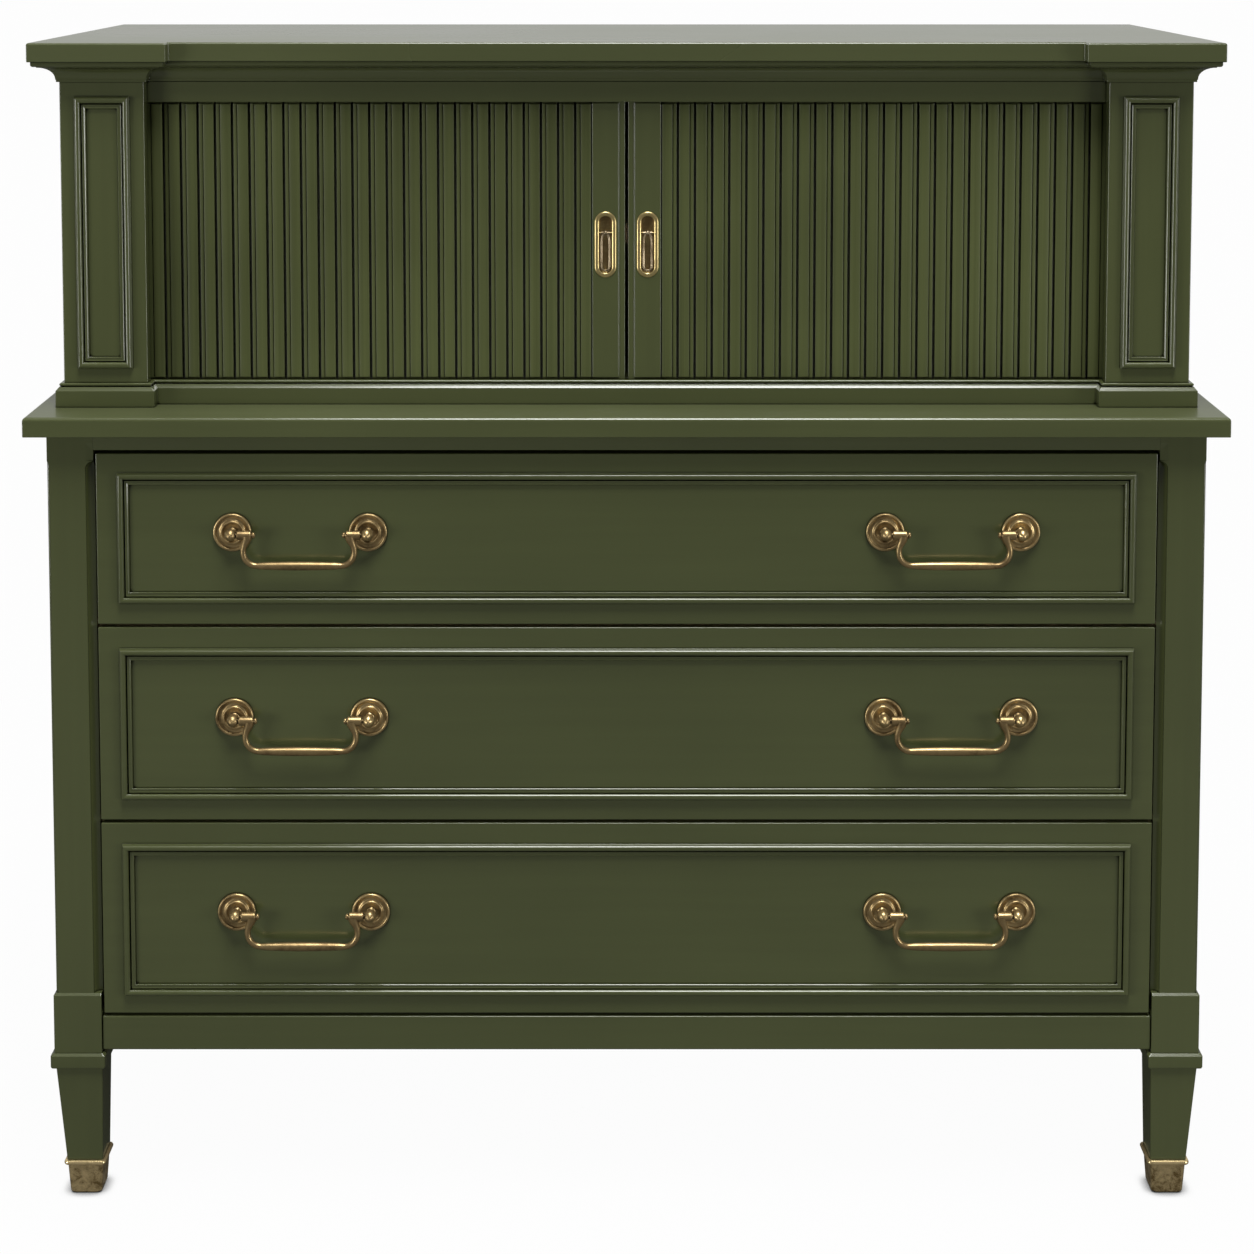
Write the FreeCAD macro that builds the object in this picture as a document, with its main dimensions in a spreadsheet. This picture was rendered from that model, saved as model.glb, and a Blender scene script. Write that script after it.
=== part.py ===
"""A tallboy: three long drawers on tapered legs, and a tambour cabinet above them.

Every length is in millimetres. X runs to the right, Y to the back and Z up. The origin is
on the floor, under the middle of the whole outline.
"""

import FreeCAD
import Part
import math
import os
import re

import Sketcher

SIZES = {
    # The deck is the wide slab between the lower case and the cabinet.
    "deck_width": 1120,
    "deck_depth": 505,
    "deck_thickness": 18.5,
    "deck_easing": 2.2,
    "deck_side_overhang": 18,
    "deck_back_overhang": 6,
    "body_setback": 20,
    # A leg post is a shaft, a block, a collar, and a foot that tapers into a brass cup.
    "post_width": 43.2,
    "post_cove_outer": 4.8,
    "post_cove_inner": 7.4,
    "post_cove_drop": 26,
    "block_height": 58,
    "block_proud": 2.2,
    "block_bevel": 1.9,
    "collar_height": 15,
    "collar_proud": 3.2,
    "collar_bevel": 1.6,
    "collar_under_bevel": 2,
    "leg_length": 126,
    "leg_step": 1.2,
    "foot_taper_outer": 8.5,
    "foot_taper_inner": 1.8,
    "foot_taper_front": 3,
    "foot_taper_back": 4,
    "rear_foot_taper_front": 8,
    "rear_foot_taper_back": 1.6,
    "foot_tip_gap": 3,
    "sabot_height": 29.5,
    "sabot_rim_height": 4.5,
    "sabot_rim_proud": 3,
    "sabot_rim_bevel": 1.2,
    "sabot_wall": 1.6,
    "sabot_draw": 1.8,
    # The lower case.
    "side_panel_thickness": 15,
    "side_panel_inset": 4,
    "back_panel_thickness": 6,
    "back_panel_inset": 3,
    "bottom_rail_height": 33,
    "bottom_rail_raise": 2.3,
    "bottom_rail_thickness": 22,
    "rail_easing": 1.6,
    "frieze_rail_height": 16,
    "divider_thickness": 18,
    "divider_depth": 48,
    "divider_setback": 2,
    "runner_width": 30,
    "guide_height": 26,
    "guide_clearance": 0.7,
    "runner_clearance": 0.3,
    # Three drawers, counted from the top.
    "drawer_gap": 3,
    "drawer_side_gap": 2.2,
    "drawer_1_height": 162.3,
    "drawer_2_height": 185.2,
    "drawer_3_height": 185.2,
    "drawer_front_thickness": 20,
    "drawer_easing": 1.2,
    "drawer_box_inset": 7,
    "drawer_box_top_drop": 12,
    "drawer_box_depth": 420,
    "drawer_side_thickness": 12,
    "drawer_back_drop": 6,
    "drawer_bottom_thickness": 6,
    "drawer_bottom_raise": 12,
    "drawer_groove_depth": 6,
    "drawer_groove_clearance": 0.2,
    # The moulding frames, mitred at their corners and applied to the fronts.
    "frame_width": 11.5,
    "frame_height": 6,
    "frame_inset": 19.6,
    "frame_end_inset": 17.6,
    "pilaster_frame_inset": 13.5,
    # A pull is a bail hung between two turned rosettes.
    "pull_inset": 191.1,
    "pull_rise": 7,
    "rosette_spacing": 127,
    "rosette_radius": 18,
    "rosette_height": 4.6,
    "pull_axis_reach": 14,
    "post_ball_radius": 5.5,
    "post_stem_radius": 3,
    "post_nipple_radius": 2.4,
    "post_nipple_height": 2,
    "post_nipple_bevel": 0.9,
    "bail_drop": 29,
    "bail_arm_gap": 3.05,
    "bail_arm_radius": 2.8,
    "bail_bend_radius": 13,
    "bail_barrel_radius": 4.25,
    "bail_barrel_length": 16.6,
    "bail_barrel_bevel": 1.2,
    "bail_pin_radius": 2.2,
    "bail_pin_length": 3.2,
    "bail_pin_clearance": 0.08,
    "bail_post_clearance": 0.35,
    "bail_grip_radius": 4.2,
    "bail_grip_end_gap": 2.3,
    # The cabinet.
    "pilaster_setback": 60,
    "pilaster_inset": 27,
    "pilaster_width": 79.5,
    "breakfront": 17,
    "upper_side_thickness": 18,
    "bottom_board_thickness": 22,
    "opening_height": 266,
    "top_board_thickness": 20,
    "cornice_height": 19.6,
    "cornice_rail_thickness": 18,
    "slab_thickness": 18,
    "slab_overhang": 25,
    "slab_easing": 2.2,
    "plinth_proud": 7,
    "plinth_fascia_height": 16.2,
    "plinth_ogee_height": 3.4,
    "plinth_bead_proud": 4.2,
    "plinth_bead_height": 2.4,
    "plinth_rise": 0.6,
    "cornice_fillet_proud": 2.4,
    "cornice_fillet_height": 2.2,
    "cornice_cove_proud": 17.4,
    "cornice_cove_top_drop": 5.4,
    "cornice_crown_proud": 22,
    "cornice_crown_height": 4.8,
    # The tambour doors, their curved track and the liners that hide the pocket.
    "tambour_setback": 6,
    "slat_pitch": 16.3,
    "slat_gap": 0.4,
    "slat_thickness": 8,
    "slat_face_width": 11.8,
    "slat_step": 1.8,
    "canvas_thickness": 0.6,
    "track_width": 9.6,
    "track_depth": 8,
    "track_floor_clearance": 0.3,
    "track_head_clearance": 2,
    "track_radius": 45,
    "track_side_inset": 15,
    "track_tail": 18,
    "liner_thickness": 12,
    "liner_gap": 1.5,
    "stile_width": 31.2,
    "stile_bead_width": 6,
    "stile_bead_step": 1.5,
    "stile_thickness": 11,
    "stile_end_gap": 1.4,
    "door_gap": 3,
    # The shelf behind the doors.
    "shelf_thickness": 16,
    "shelf_height": 128,
    "shelf_front_gap": 14,
    "shelf_side_gap": 1,
    "cleat_width": 12,
    "cleat_height": 14,
    "cleat_end_inset": 20,
    # The flush cups on the lead stiles, each with a folding ring.
    "cup_height": 63.2,
    "cup_width": 21,
    "cup_lip": 1.2,
    "cup_rim_width": 4.3,
    "cup_depth": 7,
    "cup_wall": 1,
    "cup_clearance": 0.1,
    "cup_drop": 3.5,
    "ring_pivot_drop": 20.5,
    "ring_wire_radius": 1.15,
    "ring_width": 9.8,
    "ring_length": 37.4,
    "ring_knuckle_radius": 2.1,
    "ring_pin_radius": 0.9,
    "ring_pin_clearance": 0.08,
    "ring_lift": 1.1,
    # One overrun serves every cut.
    "overrun": 2,
}

PLANES = {
    # Half widths, from the middle plane outwards.
    "deck_half": "deck_width / 2",
    "post_outer": "deck_half - deck_side_overhang",
    "post_inner": "post_outer - post_width",
    "block_outer": "post_outer + block_proud",
    "panel_outer": "post_outer - side_panel_inset",
    "panel_inner": "panel_outer - side_panel_thickness",
    "drawer_half": "post_inner - drawer_side_gap",
    "drawer_box_half": "drawer_half - drawer_box_inset",
    "pull_offset": "drawer_half - pull_inset",
    "pilaster_outer": "deck_half - pilaster_inset",
    "pilaster_inner": "pilaster_outer - pilaster_width",
    "upper_side_inner": "pilaster_outer - upper_side_thickness",
    "liner_inner": "pilaster_inner - liner_thickness",
    "slab_half": "pilaster_outer + slab_overhang",
    "slab_inner": "pilaster_inner - slab_overhang",
    "track_side": "upper_side_inner - track_side_inset",
    "canvas_end": "stile_tail + ceil((pilaster_inner - stile_tail) / slat_pitch) * slat_pitch",
    "stile_lead": "door_gap / 2",
    "stile_tail": "stile_lead + stile_width",
    # From the middle of a pull outwards.
    "bail_end": "rosette_spacing / 2 - post_ball_radius - bail_post_clearance",
    "bail_arm": "bail_end - bail_arm_gap - bail_arm_radius",
    "bail_grip_half": "bail_arm - bail_bend_radius - bail_grip_end_gap",
    # Depths. The pulls stand a little in front of the deck.
    "pull_reach": "pull_axis_reach + post_ball_radius + post_nipple_height",
    "deck_front": "-(deck_depth - pull_reach + body_setback) / 2",
    "deck_back": "deck_front + deck_depth",
    "body_front": "deck_front + body_setback",
    "body_back": "deck_back - deck_back_overhang",
    "body_middle": "(body_front + body_back) / 2",
    "post_back": "body_front + post_width",
    "rear_post_front": "body_back - post_width",
    "drawer_back_face": "body_front + drawer_front_thickness",
    "drawer_box_back": "drawer_back_face + drawer_box_depth",
    "divider_front": "drawer_back_face + divider_setback",
    "divider_back": "divider_front + divider_depth",
    "lower_panel_back": "body_back - back_panel_inset",
    "pilaster_front": "deck_front + pilaster_setback",
    "upper_front": "pilaster_front + breakfront",
    "slab_front": "pilaster_front - slab_overhang",
    "slab_middle_front": "upper_front - slab_overhang",
    "tambour_front": "upper_front + tambour_setback",
    "canvas_front": "tambour_front + slat_thickness",
    "track_middle": "tambour_front + (slat_thickness + canvas_thickness) / 2",
    "upper_panel_front": "body_back - back_panel_thickness",
    "track_back": "upper_panel_front - track_width / 2 - liner_gap",
    "liner_front": "tambour_front + stile_thickness + liner_gap",
    "liner_back": "track_back - track_width / 2 - liner_gap",
    # Heights.
    "sabot_top": "sabot_height + sabot_rim_height",
    "block_bottom": "leg_length + collar_height",
    "block_top": "block_bottom + block_height",
    "bottom_rail_bottom": "block_bottom + bottom_rail_raise",
    "bottom_rail_top": "bottom_rail_bottom + bottom_rail_height",
    "drawer_3_bottom": "bottom_rail_top + drawer_gap",
    "drawer_3_top": "drawer_3_bottom + drawer_3_height",
    "drawer_2_bottom": "drawer_3_top + drawer_gap",
    "drawer_2_top": "drawer_2_bottom + drawer_2_height",
    "drawer_1_bottom": "drawer_2_top + drawer_gap",
    "drawer_1_top": "drawer_1_bottom + drawer_1_height",
    "frieze_rail_bottom": "drawer_1_top + drawer_gap",
    "deck_bottom": "frieze_rail_bottom + frieze_rail_height",
    "deck_top": "deck_bottom + deck_thickness",
    "opening_bottom": "deck_top + bottom_board_thickness",
    "opening_top": "opening_bottom + opening_height",
    "top_board_top": "opening_top + top_board_thickness",
    "slab_bottom": "top_board_top + cornice_height",
    "slab_top": "slab_bottom + slab_thickness",
    "shelf_bottom": "opening_bottom + shelf_height",
    "shelf_top": "shelf_bottom + shelf_thickness",
    "slat_bottom": "opening_bottom - track_depth + track_floor_clearance",
    "slat_top": "opening_top + track_depth - track_head_clearance",
}

# Sections and outlines, as shares of the sizes that they follow.
frame_profile_shares = (
    (0, 0), (0, 0.3), (0.12, 0.3), (0.2, 0.82), (0.35, 1), (0.5, 0.82),
    (0.6, 0.42), (0.86, 0.42), (0.86, 0.64), (1, 0.64), (1, 0),
)
rosette_profile_shares = ((1, 0), (1, 0.45), (0.91, 0.9), (0.7, 0.42), (0.58, 1), (0.48, 0.9), (0.4, 0.36))
ball_profile_shares = ((0.6, -0.8), (0.96, -0.28), (0.96, 0.28), (0.6, 0.8))
grip_swell_shares = ((1, 0), (0.5, 0.9))
ogee_shares = ((0, 0), (0.3, 0.35), (0.55, 0.72), (1, 1))
cove_shares = ((0, 0), (0.06, 0.34), (0.26, 0.68), (0.6, 0.9), (1, 1))
bead_shares = ((0, 0), (0.7, 0.15), (1, 0.5), (0.7, 0.85), (0, 1))
quirk_share = 0.2
knuckle_bevel_share = 0.25

ROSETTE_FACETS = 10
POST_FACETS = 8
WIRE_FACETS = 8
BEND_FACETS = 3
TRACK_FACETS = 6
CUP_FACETS = 3
DRAWERS = ("1", "2", "3")
SIDES = {"left": -1, "right": 1}
ORIGIN = FreeCAD.Vector()
X_AXIS = FreeCAD.Vector(1, 0, 0)
Y_AXIS = FreeCAD.Vector(0, 1, 0)
Z_AXIS = FreeCAD.Vector(0, 0, 1)

doc = FreeCAD.newDocument("tallboy")


def fill_sheet(name, cells, write):
    """Put each named cell into a sheet, its alias beside it."""
    sheet = doc.addObject("Spreadsheet::Sheet", name)
    for row, (alias, content) in enumerate(cells.items(), 1):
        sheet.set(f"A{row}", alias)
        sheet.set(f"B{row}", write(content))
        sheet.setAlias(f"B{row}", alias)
    return sheet


def bound(text, home=""):
    """Name the sheet before each size in an expression; cells of the home sheet need none."""
    def place(match):
        word = match.group()
        if word in SIZES:
            return f"sizes.{word}"
        if word in PLANES and home != "planes":
            return f"planes.{word}"
        return word
    return re.sub(r"[a-z]\w*", place, text)


sizes = fill_sheet("sizes", SIZES, str)
planes = fill_sheet("planes", PLANES, lambda text: "=" + bound(text, "planes"))
doc.recompute()

nodes = {}


def mm(text):
    """The present length of an expression over the two sheets."""
    return float(sizes.evalExpression(bound(text)))


def node(label, piece):
    """Enter a finished piece under the name of its file."""
    piece.Label = label
    nodes[label] = piece
    return piece


def place(piece, **where):
    """Bind the base point of a piece's placement."""
    for axis, text in where.items():
        piece.setExpression(f"Placement.Base.{axis}", bound(text))
    return piece


def board(name, x, y, z):
    """A rectangular board between three pairs of planes."""
    piece = doc.addObject("Part::Box", name)
    for side, (low, high) in (("Length", x), ("Width", y), ("Height", z)):
        piece.setExpression(side, bound(f"({high}) - ({low})"))
    return place(piece, x=x[0], y=y[0], z=z[0])


def on_side(sign, low, high):
    """The X limits of a board on the right, or of its mirror image on the left."""
    return (low, high) if sign > 0 else (f"-({high})", f"-({low})")


def rod(name, radius, length, **where):
    """An upright round bar on its placed base point."""
    piece = doc.addObject("Part::Cylinder", name)
    piece.setExpression("Radius", bound(radius))
    piece.setExpression("Height", bound(length))
    return place(piece, **where)


def spike(name, radius, length, **where):
    """An upright cone that narrows to a point above its placed base point."""
    piece = doc.addObject("Part::Cone", name)
    piece.setExpression("Radius1", bound(radius))
    piece.Radius2 = 0
    piece.setExpression("Height", bound(length))
    return place(piece, **where)


def tapered(name, low, high, z):
    """A tapered block along Z; low and high are its (x, x, y, y) limits at the two heights."""
    piece = doc.addObject("Part::Wedge", name)
    for limit, text in (
        ("Xmin", low[0]), ("Xmax", low[1]), ("X2min", high[0]), ("X2max", high[1]),
        ("Zmin", f"-({low[3]})"), ("Zmax", f"-({low[2]})"),
        ("Z2min", f"-({high[3]})"), ("Z2max", f"-({high[2]})"),
        ("Ymin", z[0]), ("Ymax", z[1]),
    ):
        piece.setExpression(limit, bound(text))
    piece.Placement.Rotation = FreeCAD.Rotation(Y_AXIS, Z_AXIS)
    return piece


def cut(name, base, tool):
    """The base piece without the tool."""
    piece = doc.addObject("Part::Cut", name)
    piece.Base = base
    piece.Tool = tool
    return piece


def fused(name, *pieces):
    """One solid of several that meet."""
    piece = doc.addObject("Part::MultiFuse", name)
    piece.Shapes = list(pieces)
    piece.Refine = True
    return piece


def group(name, pieces):
    """Separate solids under one name."""
    piece = doc.addObject("Part::Compound", name)
    piece.Links = list(pieces)
    return piece


def mirrored(name, source, normal, **where):
    """A piece seen in a mirror whose plane has this normal."""
    piece = doc.addObject("Part::Mirroring", name)
    piece.Source = source
    piece.Normal = normal
    for axis, text in where.items():
        piece.setExpression(f"Base.{axis}", bound(text))
    return piece


def shaped(name, shape):
    """A piece whose shape is worked out here, from the sheets."""
    piece = doc.addObject("Part::Feature", name)
    piece.Shape = shape
    return piece


def near(**planes_met):
    """A test: a point lies in each of the planes that the expressions give."""
    levels = {axis: mm(text) for axis, text in planes_met.items()}
    return lambda point: all(
        math.isclose(getattr(point, axis), level) for axis, level in levels.items()
    )


def edges_where(shape, test):
    """Numbers of the edges whose two end points both pass a test."""
    return [
        number for number, edge in enumerate(shape.Edges, 1)
        if all(test(vertex.Point) for vertex in edge.Vertexes)
    ]


def eased(name, kind, base, cuts):
    """Fillets or chamfers on a base; cuts pairs a test of end points with a size."""
    doc.recompute()
    piece = doc.addObject(f"Part::{kind}", name)
    piece.Base = base
    piece.Edges = [
        (number, mm(size), mm(size))
        for test, size in cuts for number in edges_where(base.Shape, test)
    ]
    return piece


def slab_body(name, corners, z, thickness, easing):
    """A flat slab: a bound outline sketch, padded, with its upper and lower edges eased."""
    body = doc.addObject("PartDesign::Body", name)
    plane = next(item for item in body.Origin.OriginFeatures if item.Role == "XY_Plane")
    sketch = body.newObject("Sketcher::SketchObject", f"{name}_outline")
    sketch.AttachmentSupport = [(plane, "")]
    sketch.MapMode = "FlatFace"
    points = [FreeCAD.Vector(mm(x), mm(y), 0) for x, y in corners]
    for start, end in zip(points, points[1:] + points[:1]):
        sketch.addGeometry(Part.LineSegment(start, end), False)
    for line, (x, y) in enumerate(corners):
        following = (line + 1) % len(corners)
        sketch.addConstraint(Sketcher.Constraint("Coincident", line, 2, following, 1))
        for kind, text in (("DistanceX", x), ("DistanceY", y)):
            rule = sketch.addConstraint(Sketcher.Constraint(kind, -1, 1, line, 1, mm(text)))
            sketch.setExpression(f"Constraints[{rule}]", bound(text))
    pad = body.newObject("PartDesign::Pad", f"{name}_pad")
    pad.Profile = sketch
    pad.setExpression("Length", bound(thickness))
    doc.recompute()
    level = edges_where(pad.Shape, near(z="0")) + edges_where(pad.Shape, near(z=thickness))
    arris = body.newObject("PartDesign::Chamfer", f"{name}_easing")
    arris.Base = (pad, [f"Edge{number}" for number in level])
    arris.setExpression("Size", bound(easing))
    body.Tip = arris
    return place(body, z=z)


def polygon(points):
    """A flat face inside a closed line through these points."""
    return Part.Face(Part.makePolygon([*points, points[0]]))


def outline(*corners):
    """A flat face in the XY plane, from the (x, y) of its corners."""
    return polygon([FreeCAD.Vector(x, y, 0) for x, y in corners])


def quarter_turn(facets):
    """Angles round a quarter circle, at the ends of its facets."""
    return [math.pi / 2 * step / facets for step in range(facets + 1)]


def between(low, high, shares):
    """Points from one corner to another, at shares of the way across and up."""
    return [
        (low[0] + (high[0] - low[0]) * across, low[1] + (high[1] - low[1]) * up)
        for across, up in shares
    ]


def faceted(rings):
    """A solid with flat faces through rings of points, closed by its end rings."""
    faces = [polygon(rings[0]), polygon(rings[-1])]
    for ring, after in zip(rings, rings[1:]):
        for index, point in enumerate(ring):
            turn = (index + 1) % len(ring)
            faces.append(polygon([point, ring[turn], after[turn], after[index]]))
    solid = Part.makeSolid(Part.makeShell(faces))
    if solid.Volume < 0:
        solid.reverse()
    return solid


def turned(profile, facets, spot=ORIGIN, axis=-Y_AXIS, level=Z_AXIS):
    """A faceted turning: rings at each (radius, height) of a profile along an axis."""
    across = axis.cross(level)
    angles = [math.tau * (index + 0.5) / facets for index in range(facets)]
    return faceted([
        [
            spot + axis * height + level * (radius * math.cos(angle)) + across * (radius * math.sin(angle))
            for angle in angles
        ]
        for radius, height in profile
    ])


def wire_form(path, radii):
    """A faceted wire in an XZ plane, mitred at each point of its path."""
    ways = [(b - a).normalize() for a, b in zip(path, path[1:])]
    rings = []
    for point, radius, before, after in zip(path, radii, ways[:1] + ways, ways + ways[-1:]):
        tangent = (before + after).normalize()
        across = tangent.cross(Y_AXIS) * (radius / tangent.dot(before))
        ring = []
        for index in range(WIRE_FACETS):
            angle = math.tau * (index + 0.5) / WIRE_FACETS
            ring.append(point + across * math.cos(angle) + Y_AXIS * (radius * math.sin(angle)))
        rings.append(ring)
    return faceted(rings)


def lower_bend(centre, radius):
    """Points round a bend in an XZ plane, from its right side down to its foot."""
    return [
        centre + FreeCAD.Vector(radius * math.cos(turn), 0, -radius * math.sin(turn))
        for turn in quarter_turn(BEND_FACETS)
    ]


def mitred_run(profile, start, end, inward, rise, mitres):
    """A straight length of moulding with its two ends mitred.

    The profile is in (distance along inward, distance along rise). A mitre of 1 lets the
    far edge run past the end of the near one, -1 draws it back and 0 leaves it square.
    """
    along = inward.cross(rise)
    if (end - start).dot(along) < 0:
        start, end, mitres = end, start, mitres[::-1]
    length = (end - start).Length
    wide = max(across for across, up in profile)
    tall = max(up for across, up in profile)
    overrun = mm("overrun")
    spare = wide + overrun
    bar = outline(*profile)
    # The profile's own axes turn to Y and Z, and the bar runs along X.
    bar.Placement = FreeCAD.Placement(
        FreeCAD.Vector(-spare, 0, 0), FreeCAD.Rotation(Y_AXIS, Z_AXIS, X_AXIS)
    )
    bar = bar.extrude(X_AXIS * (length + 2 * spare))
    plan = outline(
        (0, 0), (length, 0), (length + mitres[1] * wide, wide), (-mitres[0] * wide, wide)
    )
    plan.translate(Z_AXIS * -overrun)
    solid = bar.common(plan.extrude(Z_AXIS * (tall + 2 * overrun))).Solids[0]
    solid.Placement = FreeCAD.Placement(start, FreeCAD.Rotation(along, inward, rise))
    return solid


def moulding_round(profile, corners, height):
    """Lengths of moulding round a plan of wall corners, from one square end to the other."""
    points = [FreeCAD.Vector(x, y, height) for x, y in corners]
    ways = [(b - a).normalize() for a, b in zip(points, points[1:])]
    turns = [0, *(round(a.cross(b).z) for a, b in zip(ways, ways[1:])), 0]
    return [
        mitred_run(profile, a, b, way.cross(Z_AXIS), Z_AXIS, (turns[index], turns[index + 1]))
        for index, (a, b, way) in enumerate(zip(points, points[1:], ways))
    ]


def moulding_frame(x, y, z):
    """Four mitred lengths of the frame moulding in a rectangle on a front face."""
    profile = between((0, 0), (mm("frame_width"), mm("frame_height")), frame_profile_shares)
    corner = {
        (side, level): FreeCAD.Vector(x[side], y, z[level]) for side in (0, 1) for level in (0, 1)
    }
    return [
        mitred_run(profile, corner[a], corner[b], inward, -Y_AXIS, (-1, -1))
        for a, b, inward in (
            ((0, 0), (1, 0), Z_AXIS), ((0, 1), (1, 1), -Z_AXIS),
            ((0, 0), (0, 1), X_AXIS), ((1, 0), (1, 1), -X_AXIS),
        )
    ]


# Leg posts: a shaft, a block, a collar and a tapered foot that ends in a tip for the brass
# cup. The front pair has a stopped cove down each front corner of the shaft. The right
# ones are drawn, and the left ones are their mirror images.
foot_tapers = {
    "front": ("foot_taper_front", "foot_taper_back"),
    "rear": ("rear_foot_taper_back", "rear_foot_taper_front"),
}


def foot_limits(end, inset="0", draw="0"):
    """The foot's (x, x, y, y) limits at the cup's top, less an inset and the cup's draw."""
    near_taper, far_taper = foot_tapers[end]
    return (
        f"post_inner + foot_taper_inner + {inset} + {draw}",
        f"block_outer - leg_step - foot_taper_outer - {inset} - {draw}",
        f"body_front - block_proud + leg_step + {near_taper} + {inset} + {draw}",
        f"post_back - {far_taper} - {inset} - {draw}",
    )


def foot_tip(name, end):
    """The end of the foot inside its cup."""
    low, high = foot_limits(end, "sabot_wall", "sabot_draw"), foot_limits(end, "sabot_wall")
    return tapered(name, low, high, ("foot_tip_gap", "sabot_top"))


def coved_shaft(shaft):
    """The shaft with a cove down each front corner, which runs out to a point at the top."""
    for corner in ("inner", "outer"):
        radius = f"post_cove_{corner}"
        spot = {"x": f"post_{corner}", "y": "body_front"}
        stop_level = f"deck_bottom - post_cove_drop - {radius}"
        channel = rod(
            f"{corner}_cove", radius, f"{stop_level} - block_top + overrun", z="block_top - overrun", **spot
        )
        stop = spike(f"{corner}_cove_stop", radius, radius, z=stop_level, **spot)
        shaft = cut(f"{corner}_coved_shaft", shaft, fused(f"{corner}_cutter", channel, stop))
    return shaft


def leg_post(end):
    """The right post of the front or the rear, drawn as if it stood at the front."""
    shaft = board(
        f"{end}_shaft", ("post_inner", "post_outer"), ("body_front", "post_back"),
        ("block_top", "deck_bottom"),
    )
    if end == "front":
        shaft = coved_shaft(shaft)
    block_face = "body_front - block_proud"
    block_blank = board(
        f"{end}_block_blank", ("post_inner", "block_outer"), (block_face, "post_back"),
        ("block_bottom", "block_top"),
    )
    doc.recompute()
    block = eased(f"{end}_block", "Chamfer", block_blank, [
        (near(z="block_top", y=block_face), "block_bevel"),
        (near(z="block_top", x="block_outer"), "block_bevel"),
    ])
    collar_blank = board(
        f"{end}_collar_blank", ("post_inner - collar_proud", "block_outer + collar_proud"),
        (f"{block_face} - collar_proud", "post_back + collar_proud"), ("leg_length", "block_bottom"),
    )
    collar = eased(f"{end}_collar", "Chamfer", collar_blank, [
        (near(z="block_bottom"), "collar_bevel"), (near(z="leg_length"), "collar_under_bevel"),
    ])
    foot_top = ("post_inner", "block_outer - leg_step", f"{block_face} + leg_step", "post_back")
    foot = tapered(f"{end}_foot", foot_limits(end), foot_top, ("sabot_top", "leg_length"))
    return fused(f"{end}_post_plan", shaft, block, collar, foot, foot_tip(f"{end}_tip", end))


def sabot(end):
    """A brass cup for the foot: tapered walls under a rim, and a hollow for the tip."""
    wall = tapered(
        f"{end}_sabot_wall", foot_limits(end, draw="sabot_draw"), foot_limits(end), ("0", "sabot_height")
    )
    limits = foot_limits(end, "-sabot_rim_proud")
    blank = board(f"{end}_sabot_rim_blank", limits[:2], limits[2:], ("sabot_height", "sabot_top"))
    rim = eased(f"{end}_sabot_rim", "Chamfer", blank, [
        (near(z="sabot_top"), "sabot_rim_bevel"), (near(z="sabot_height"), "sabot_rim_bevel"),
    ])
    return cut(f"{end}_sabot", fused(f"{end}_sabot_blank", wall, rim), foot_tip(f"{end}_sabot_hollow", end))


sabots = []
for end in ("front", "rear"):
    post, cup = leg_post(end), sabot(end)
    if end == "rear":
        post = mirrored("rear_post_turned", post, Y_AXIS, y="body_middle")
        cup = mirrored("rear_sabot_turned", cup, Y_AXIS, y="body_middle")
    node(f"{end}_right_post", post)
    node(f"{end}_left_post", mirrored(f"{end}_left_image", post, X_AXIS))
    sabots += [cup, mirrored(f"{end}_left_sabot", cup, X_AXIS)]
node("brass_sabots", group("brass_sabot_set", sabots))

# The lower case: side panels between the posts, rails between the front posts, dividers
# and runners for the drawers, and a thin back.
case_height = ("bottom_rail_bottom", "deck_bottom")
for side, sign in SIDES.items():
    node(f"{side}_side_panel", board(
        f"{side}_side", on_side(sign, "panel_inner", "panel_outer"),
        ("post_back", "rear_post_front"), case_height,
    ))
between_posts = ("-post_inner", "post_inner")
rail_depth = ("body_front", "body_front + bottom_rail_thickness")
node("lower_back_panel", board(
    "lower_back", between_posts, ("lower_panel_back - back_panel_thickness", "lower_panel_back"), case_height
))
node("frieze_rail", board(
    "frieze_rail_board", between_posts, rail_depth, ("frieze_rail_bottom", "deck_bottom")
))
bottom_rail = board(
    "bottom_rail_board", between_posts, rail_depth, ("bottom_rail_bottom", "bottom_rail_top")
)
doc.recompute()
node("bottom_rail", eased(
    "bottom_rail_eased", "Fillet", bottom_rail, [(near(z="bottom_rail_top", y="body_front"), "rail_easing")]
))


def runner_top(drawer):
    """The level that a drawer's sides slide on."""
    return f"drawer_{drawer}_bottom - drawer_gap / 2 + divider_thickness / 2"


def runner(drawer, side, sign):
    """A ledge under a drawer's side, with the strip that guides it.

    The ledge starts at the divider's back, and at the post where there is no divider.
    """
    top = runner_top(drawer)
    ledge = board(
        f"{side}_ledge_{drawer}", on_side(sign, "drawer_box_half - runner_width", "panel_inner"),
        ("post_back" if drawer == DRAWERS[-1] else "divider_back", "rear_post_front"),
        (f"{top} - divider_thickness", top),
    )
    guide = board(
        f"{side}_guide_{drawer}", on_side(sign, "drawer_box_half + guide_clearance", "panel_inner"),
        ("post_back", "rear_post_front"), (top, f"{top} + guide_height"),
    )
    return fused(f"{side}_runner_{drawer}", ledge, guide)


node("drawer_dividers", group("drawer_divider_pair", [
    board(
        f"divider_{drawer}", between_posts, ("divider_front", "divider_back"),
        (f"{runner_top(drawer)} - divider_thickness", runner_top(drawer)),
    )
    for drawer in DRAWERS[:-1]
]))
node("drawer_runners", group("drawer_runner_set", [
    runner(drawer, side, sign) for drawer in DRAWERS for side, sign in SIDES.items()
]))

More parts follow.
